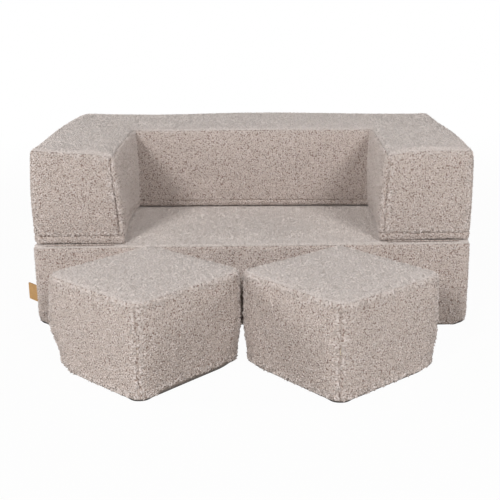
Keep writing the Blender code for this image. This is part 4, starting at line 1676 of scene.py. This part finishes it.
@dataclass(frozen=True)
class CurlGrower:
    """Geometry Nodes that grow yarn curls on a cover panel, larger along its seams.

    The yarn is drawn thicker, and the curls further apart, than in the real fleece.
    """

    spacing: float = 0.0039
    ring: float = 0.0014
    yarn: float = 0.00150
    sweep_deg: float = 220.0
    seam_growth: float = 0.50
    seam_reach: tuple[float, float] = (0.005, 0.018)
    sizes: tuple[float, float] = (0.72, 1.22)
    tilts_deg: tuple[float, float] = (10, 60)
    roll: float = 0.5
    bare_seam: float = 0.0005
    most_per_m2: float = 1 / 6e-6

    def tree(self) -> Tree:
        """Build the node tree, once for the whole sofa.

        Returns:
            The tree, which reads a panel's seam_distance and curl_share.
        """
        tree, given = open_tree("fleece_curls", {
            "Panel": "Geometry", "Spacing": self.spacing, "Ring Radius": self.ring,
            "Yarn Radius": self.yarn, "Seam Growth": self.seam_growth, "Seed": "Int",
            "Yarn": "Material"})
        seed = given["Seed"]
        near, share = (out(tree, "GeometryNodeInputNamedAttribute", {"Name": name}, "Attribute",
                           data_type="FLOAT") for name in ("seam_distance", "curl_share"))
        open_cloth = out(tree, "FunctionNodeCompare", {"A": near, "B": self.bare_seam},
                         data_type="FLOAT", operation="GREATER_THAN")
        spots = add_node(tree, "GeometryNodeDistributePointsOnFaces",
                         {"Mesh": given["Panel"], "Selection": open_cloth,
                          "Density Max": self.most_per_m2, "Density Factor": share,
                          "Distance Min": given["Spacing"], "Seed": seed},
                         distribute_method="POISSON").outputs
        arc = out(tree, "GeometryNodeCurveArc",
                  {"Resolution": 3, "Radius": given["Ring Radius"],
                   "Sweep Angle": math.radians(self.sweep_deg),
                   "Start Angle": math.radians(90 - self.sweep_deg / 2)}, mode="RADIUS")
        thread = out(tree, "GeometryNodeCurvePrimitiveCircle",
                     {"Resolution": 3, "Radius": given["Yarn Radius"]}, mode="RADIUS")
        curl = out(tree, "GeometryNodeCurveToMesh", {"Curve": arc, "Profile Curve": thread})
        least, most = (math.radians(tilt) for tilt in self.tilts_deg)
        tilt = out(tree, "FunctionNodeRandomValue",
                   {"Min": (least, -self.roll, -math.pi), "Max": (most, self.roll, math.pi),
                    "Seed": seed}, data_type="FLOAT_VECTOR")
        lean = out(tree, "FunctionNodeEulerToRotation", {0: tilt})
        turned = out(tree, "FunctionNodeRotateRotation",
                     {"Rotation": spots["Rotation"], "Rotate By": lean}, rotation_space="LOCAL")
        size, tone = (out(tree, "FunctionNodeRandomValue", {2: low, 3: high, "Seed": seed}, 1,
                          data_type="FLOAT") for low, high in (self.sizes, (0.0, 1.0)))
        edge = ramp(tree, near, *self.seam_reach, given["Seam Growth"], 0.0)
        placed = out(tree, "GeometryNodeInstanceOnPoints",
                     {"Points": spots["Points"], "Instance": curl, "Rotation": turned,
                      "Scale": maths(tree, "ADD", size, edge)})
        toned = out(tree, "GeometryNodeStoreNamedAttribute",
                    {"Name": "tone", "Geometry": placed, "Value": tone},
                    data_type="FLOAT", domain="INSTANCE")
        return close_tree(tree, toned, given["Yarn"])


def grow_curls(block: SoftBlock, panels: Pieces, tree: Tree, finishes: Finishes) -> Pieces:
    """Grow the curls of a block's fleece panels, pressed flat where blocks meet.

    Args:
        block: The block that the panels cover.
        panels: Its panels by node.
        tree: The curl tree.
        finishes: The sofa's materials.

    Returns:
        The curls by the node of the panel that they grow on.
    """
    cuts = block.cuts()
    made = {}
    for number, (node, panel) in enumerate(panels.items()):
        slot = cuts[node].slot
        yarn = finishes.yarn(node, slot)
        if yarn is None:
            continue
        start = points_of(panel.data)
        pressed = start[:, 2] - block.low + joint_dip(start) < PRESSED_HEIGHT
        pressed &= node == "upper_cover_bottom_panel"
        if node == SEAT_NODE:
            pressed = under_block(start, PRESSED_MARGIN) & (start[:, 1] > FRONT_Y + FREE_FRONT)
        set_values(panel, "curl_share",
                   np.where(pressed, PRESSED_SHARE, TOP_SHARE if slot is Slot.TOP else 1.0))
        growth = next((g for key, g in SEAM_GROWTH.items() if node.startswith(key)),
                      PLAIN_SEAM_GROWTH)
        curls = grow(tree, panel.name.replace("_cloth", "_curls"), panel.data,
                     {"Seed": number + 7, "Yarn": yarn, "Seam Growth": growth})
        points = points_of(curls.data)
        z = points[:, 2]
        if block.body == "base":
            under = under_block(points, -CURL_MARGIN) & (points[:, 1] > FRONT_Y + CURL_MARGIN)
            z[:] = np.minimum(z, np.where(under, block.high, TOP_Z) - joint_dip(points))
        if block.body == "upper":
            z[:] = np.maximum(z, block.low - joint_dip(points))
        z[:] = np.maximum(z, FLOOR_GAP)
        set_points(curls.data, points)
        enter(curls, block.body, slot)
        LOG.info("%s: %d triangles", curls.name, len(curls.data.polygons) * 2)
        made[node] = curls
    return made


@dataclass(frozen=True)
class ZipCoil:
    """Geometry Nodes that lay a zip's coil along the middle of its tape."""

    turn: float = 0.0021
    width: float = 0.0030
    wire: float = 0.0006
    end_gap: float = 0.004
    stations: int = 60

    def tree(self) -> Tree:
        """Build the node tree: one nylon turn with rounded ends, repeated along the line.

        Returns:
            The tree.
        """
        tree, given = open_tree("zip_coil", {"Line": "Geometry", "Turn": self.turn,
                                             "Width": self.width, "Wire": self.wire,
                                             "Nylon": "Material"})
        curve = out(tree, "GeometryNodeMeshToCurve", {0: given["Line"]})
        spots = out(tree, "GeometryNodeCurveToPoints", {"Curve": curve, "Length": given["Turn"]},
                    mode="LENGTH")
        parts = [out(tree, "GeometryNodeMeshCylinder",
                     {"Vertices": 6, "Radius": given["Wire"], "Depth": given["Width"]},
                     fill_type="NGON")]
        ball = out(tree, "GeometryNodeMeshIcoSphere",
                   {"Subdivisions": 1, "Radius": given["Wire"]})
        for way in (0.5, -0.5):
            where = out(tree, "ShaderNodeCombineXYZ",
                        {2: maths(tree, "MULTIPLY", given["Width"], way)})
            parts.append(out(tree, "GeometryNodeTransform",
                             {"Geometry": ball, "Translation": where}))
        joined = add_node(tree, "GeometryNodeJoinGeometry")
        for part in parts:
            tree.links.new(part, joined.inputs[0])
        placed = out(tree, "GeometryNodeInstanceOnPoints",
                     {"Points": spots, "Instance": joined.outputs[0]})
        return close_tree(tree, placed, given["Nylon"])

    def lay(self, block: SoftBlock, tape: bpy.types.Object, tree: Tree,
            finishes: Finishes) -> None:
        """Lay the coil on a zip's tape.

        Args:
            block: The block that the zip closes.
            tape: Its finished tape.
            tree: The coil tree.
            finishes: The sofa's materials.
        """
        distance = read_numbers(tape.data.attributes["seam_distance"].data, "value", 1, np.float32)
        outer = distance >= 0.0
        points, normals = points_of(tape.data)[outer], normals_of(tape.data)[outer]
        span = points - points.mean(axis=0)
        way = np.linalg.svd(span[:, :2], full_matrices=False)[2][0]
        along = points[:, :2] @ way
        line = []
        for at in np.linspace(along.min() + self.end_gap, along.max() - self.end_gap,
                              self.stations):
            close = np.abs(along - at) < 2 * self.width
            spot, out_way = points[close].mean(axis=0), normals[close].mean(axis=0)
            spot[:2] += way * (at - spot[:2] @ way)
            line.append(spot + out_way / np.linalg.norm(out_way) * self.wire)
        mesh = bpy.data.meshes.new("zip_line")
        mesh.from_pydata([tuple(p) for p in line], [(i, i + 1) for i in range(len(line) - 1)], [])
        coil = grow(tree, tape.name.replace("_tape_cloth", "_coil"), mesh,
                    {"Nylon": finishes.coil})
        enter(coil, block.body, Slot.ZIP_TAPE)


# Foam, tag and hinge


@dataclass(frozen=True)
class FoamCores:
    """The foam blocks inside the covers, in the form of their solids and a little smaller."""

    shrink: float = 0.0030
    softness: float = 0.4

    def build(self, blocks: list[SoftBlock], finishes: Finishes) -> None:
        """Args:
            blocks: The covers' blocks, whose form each core follows.
            finishes: The sofa's materials.
        """
        covers = {block.body: block for block in blocks}
        for node, solid in sorted(frame["nodes"].items()):
            if "foam" not in node:
                continue
            merged = bmesh.new()
            merged.from_mesh(solid.data)
            bmesh.ops.remove_doubles(merged, verts=merged.verts, dist=1e-5)
            merged.normal_update()
            for vert, normal in [(v, v.normal.copy()) for v in merged.verts]:
                vert.co -= normal * self.shrink
            mesh = bpy.data.meshes.new(node + "_core")
            merged.to_mesh(mesh)
            merged.free()
            mesh.materials.clear()
            mesh.materials.append(finishes.panels[Slot.FOAM])
            core = link_object(node + "_core", mesh)
            refine(core, "SIMPLE")
            soften = core.modifiers.new("Soften", "SMOOTH")
            soften.factor, soften.iterations = self.softness, 2
            flatten(core)
            core.data.shade_smooth()
            body = solid["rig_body"]
            cover = covers[body]
            local = cover.unplace(points_of(core.data))
            set_points(core.data, cover.place(local + cover.shift(local)))
            enter(core, body, Slot.FOAM, node)


@dataclass(frozen=True)
class LeatherTag:
    """The folded leather loop in the base's front left seam."""

    height: float = 0.040
    centre_z: float = 0.070
    leather: float = 0.0012
    bend: float = 0.0009
    reach_out: float = 0.040
    sweep_back: float = 0.039
    side_draw: float = 0.0004
    soft_edge: float = 0.0003
    leg_marks: tuple[float, ...] = (0.3, 0.6)
    fold_steps: int = 8
    levels: int = 9

    def build(self, finishes: Finishes) -> None:
        """Make the tag as a bent strip with thickness and soft edges.

        Args:
            finishes: The sofa's materials.
        """
        start = Vector((-HALF_WIDTH + self.side_draw, FRONT_SEAM_Y, 0.0))
        along = Vector((-self.reach_out, self.sweep_back, 0.0))
        length = along.length
        along.normalize()
        across = Vector((-along.y, along.x, 0.0))
        middle = self.bend + self.leather / 2
        bend_at = length - middle * 2
        legs = (0.0, *(length * mark for mark in self.leg_marks), bend_at)
        spots = [along * t - across * middle for t in legs]
        for i in range(1, self.fold_steps):
            angle = -math.pi / 2 + math.pi * i / self.fold_steps
            spots.append(along * (bend_at + middle * math.cos(angle))
                         + across * (middle * math.sin(angle)))
        spots += [along * t + across * middle for t in reversed(legs)]
        levels = np.linspace(-self.height / 2, self.height / 2, self.levels)
        points = [start + spot + Vector((0, 0, self.centre_z + z))
                  for z in levels for spot in spots]
        tag = mesh_object("base_tag_leather", np.array(points),
                          quad_rows(len(levels), len(spots), False), finishes.leather)
        wall = tag.modifiers.new("Leather", "SOLIDIFY")
        wall.thickness, wall.offset = self.leather, 0.0
        edge = tag.modifiers.new("Edge", "BEVEL")
        edge.width, edge.segments = self.soft_edge, 2
        refine(tag)
        flatten(tag)
        enter(tag, "base", Slot.LEATHER, "base_tag_loop")


@dataclass(frozen=True)
class HingeSeam:
    """The sewn strip that joins both covers along the front edge of the joint.

    Its radius swells and shrinks along it: by a mean share, a change and the two waves' turns.
    """

    set_back: float = 0.0035
    radius: float = 0.0016
    rings: int = 60
    sides: int = 12
    swells: tuple[float, float] = (0.86, 0.10)
    waves: tuple[float, float] = (61.0, 23.0)
    end_share: float = 0.55
    from_seam: float = 0.02
    curl_spacing: float = 0.0046
    curl_radius: float = 0.0011

    def build(self, finishes: Finishes, curls: Tree) -> None:
        """Make each roll of the seam, set back in the joint, with short curls on it.

        Args:
            finishes: The sofa's materials.
            curls: The curl tree.
        """
        rings, sides = self.rings, self.sides
        (mean, change), (fast, slow) = self.swells, self.waves
        faces = quad_rows(rings + 1, sides, True)
        faces += [tuple(reversed(range(sides))), tuple(rings * sides + k for k in range(sides))]
        for number, node in enumerate(("hinge_roll_left", "hinge_roll_right")):
            low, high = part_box(node)
            centre = (low + high) / 2
            centre.y += self.set_back
            points = []
            for i in range(rings + 1):
                t = i / rings
                bulge = self.radius * (mean + change * math.sin(t * fast) * math.sin(t * slow))
                if i in (0, rings):
                    bulge *= self.end_share
                for angle in (math.tau * k / sides for k in range(sides)):
                    points.append((low.x + (high.x - low.x) * t,
                                   centre.y + bulge * math.cos(angle),
                                   centre.z + bulge * math.sin(angle)))
            points = np.array(points)
            points[:, 2] -= joint_dip(points)
            roll = mesh_object(node + "_seam", points, faces, finishes.panels[Slot.COVER])
            enter(roll, "hinge_roll", Slot.COVER, node)
            set_values(roll, "seam_distance", np.full(len(points), self.from_seam))
            set_values(roll, "curl_share", np.ones(len(points)))
            loops = grow(curls, node + "_curls", roll.data,
                         {"Seed": number + 3, "Spacing": self.curl_spacing,
                          "Ring Radius": self.curl_radius, "Yarn Radius": self.curl_radius,
                          "Yarn": finishes.curls[Slot.COVER]})
            enter(loops, "hinge_roll", Slot.COVER)


# Studio


@dataclass(frozen=True)
class SoftBox:
    """One rectangular soft box, in metres and watts."""

    name: str
    place: tuple[float, float, float]
    size: tuple[float, float]
    power: float

    def hang(self, target: Vector) -> None:
        """Hang the soft box so that it looks at a target.

        Args:
            target: What it looks at.
        """
        light = bpy.data.lights.new(self.name, "AREA")
        light.shape = "RECTANGLE"
        light.size, light.size_y = self.size
        light.energy = self.power
        made = link_object(self.name, light)
        made.location = self.place
        made.rotation_euler = (target - Vector(self.place)).to_track_quat("-Z", "Y").to_euler()


@dataclass(frozen=True)
class Studio:
    """Paper sweep, soft boxes and the camera at the photograph's viewpoint."""

    place: tuple[float, float, float] = (0.06286, -2.33247, 0.76760)
    focal_px: float = 912.576
    picture_px: float = 500.0
    sensor_mm: float = 36.0
    pitch: float = 0.279085
    yaw: float = 0.031125
    roll: float = 0.012613
    floor_half: float = 9.0
    sky: float = 0.03
    target: tuple[float, float, float] = (0.0, -0.2, 0.2)
    boxes: tuple[SoftBox, ...] = (
        SoftBox("top_box", (0.0, -0.3, 3.4), (1.4, 1.4), 9.0),
        SoftBox("left_box", (-3.2, -0.4, 1.25), (1.4, 1.0), 40.0),
        SoftBox("right_box", (3.2, -0.4, 1.25), (1.4, 1.0), 29.0),
        SoftBox("back_box", (0.0, 3.4, 1.0), (1.4, 1.0), 30.0),
        SoftBox("left_key", (-2.05, -4.1, 2.65), (1.1, 1.1), 117.0),
        SoftBox("right_key", (2.05, -4.1, 2.65), (1.1, 1.1), 96.0))

    def camera(self) -> None:
        """Set the camera from its place and three angles."""
        data = bpy.data.cameras.new("camera")
        data.sensor_width = self.sensor_mm
        data.lens = self.focal_px / self.picture_px * self.sensor_mm
        data.clip_start, data.clip_end = 0.05, 60.0
        made = link_object("camera", data)
        level = Vector((-math.sin(self.yaw), math.cos(self.yaw), 0.0))
        right = Vector((math.cos(self.yaw), math.sin(self.yaw), 0.0))
        ahead = level * math.cos(self.pitch) + Vector((0, 0, -math.sin(self.pitch)))
        up = level * math.sin(self.pitch) + Vector((0, 0, math.cos(self.pitch)))
        c, s = math.cos(self.roll), math.sin(self.roll)
        turned = Matrix((right * c - up * s, right * s + up * c, -ahead)).transposed().to_4x4()
        made.matrix_world = Matrix.Translation(self.place) @ turned
        bpy.context.scene.camera = made

    def build(self) -> None:
        """Set up the world, the lights, the floor and the camera."""
        scene = bpy.context.scene
        scene.view_settings.view_transform = "Standard"
        world = bpy.data.worlds.new("studio")
        scene.world = world
        world.use_nodes = True
        tree = world.node_tree
        tree.nodes.clear()
        sky, shown = (out(tree, "ShaderNodeBackground",
                          {"Color": linear("#FFFFFF"), "Strength": strength})
                      for strength in (self.sky, 1.0))
        mix = out(tree, "ShaderNodeMixShader", {0: seen_share(tree), 1: sky, 2: shown})
        add_node(tree, "ShaderNodeOutputWorld", {"Surface": mix})
        for box in self.boxes:
            box.hang(Vector(self.target))
        h = self.floor_half
        floor = mesh_object("floor", np.array([(-h, -h, 0), (h, -h, 0), (h, h, 0), (-h, h, 0)]),
                            [(0, 1, 2, 3)], StudioPaper("studio_paper", "#D4D2CF").build())
        self.camera()


def swell(blocks: list[SoftBlock], grids: list[bpy.types.Object]) -> None:
    """Run the cloth of all blocks together and keep the swollen covers.

    Args:
        blocks: The blocks.
        grids: Their cover grids, in the same order.
    """
    for block, obj in zip(blocks, grids):
        block.pin_seams(obj)
    for number in range(1, CLOTH_FRAMES + 1):
        bpy.context.scene.frame_set(number)
    for block, obj in zip(blocks, grids):
        block.keep_swelling(obj)
    bpy.context.scene.frame_set(1)


def pouf_sags(*rows: tuple[int, int, float, float, float, float]) -> tuple[Sag, ...]:
    """Draw a pouf's corners in or out, as the photo shows them.

    Args:
        *rows: Signs of a corner's x and y, its height, how far it moves inward along both and
            up, and how far that reaches.

    Returns:
        The sags.
    """
    return tuple(Sag((x * POUF_SIDE / 2, y * POUF_SIDE / 2, z), (-x * draw, -y * draw, lift), reach)
                 for x, y, z, draw, lift, reach in rows)


def main() -> None:
    """Build the sofa's pieces in order and report them."""
    logging.basicConfig(level=logging.INFO, format="%(message)s")
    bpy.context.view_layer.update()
    finishes = Finishes()
    blocks = [BaseSlab(), BackAndArms(),
              Pouf(body="pouf_left", centre=(-0.2175, FRONT_Y - 0.2070), turn=math.radians(48.5),
                   sags=pouf_sags((-1, 1, POUF_HEIGHT, 0.004, 0.0, 0.120),
                                  (-1, 1, 0.0, 0.017, 0.003, 0.100),
                                  (1, 1, 0.0, 0.007, 0.0, 0.100),
                                  (1, -1, 0.0, 0.010, 0.001, 0.090))),
              Pouf(body="pouf_right", centre=(0.1935, FRONT_Y - 0.2130), turn=math.radians(41.6),
                   zip_side=2,
                   sags=pouf_sags((1, -1, 0.0, 0.009, 0.003, 0.080),
                                  (1, 1, 0.0, 0.007, 0.0, 0.100),
                                  (-1, 1, 0.0, 0.008, 0.001, 0.080)))]
    grids = [block.grid() for block in blocks]
    swell(blocks, grids)
    coil = ZipCoil()
    curl_tree, coil_tree = CurlGrower().tree(), coil.tree()
    for block, obj in zip(blocks, grids):
        near = block.finish_form(obj)
        panels = block.cut_panels(obj, near, finishes)
        block.declare_cloth(panels, grow_curls(block, panels, curl_tree, finishes))
        for node, panel in panels.items():
            if node.endswith("_zip_tape"):
                coil.lay(block, panel, coil_tree, finishes)
    FoamCores().build(blocks, finishes)
    LeatherTag().build(finishes)
    HingeSeam().build(finishes, curl_tree)
    for name in ("base_zip_slider", "upper_zip_slider", "pouf_left_zip_slider",
                 "pouf_right_zip_slider"):
        node = frame["nodes"][name]
        node.data.materials.clear()
        node.data.materials.append(finishes.metal)
    Studio().build()


if __name__ == "__main__":
    main()
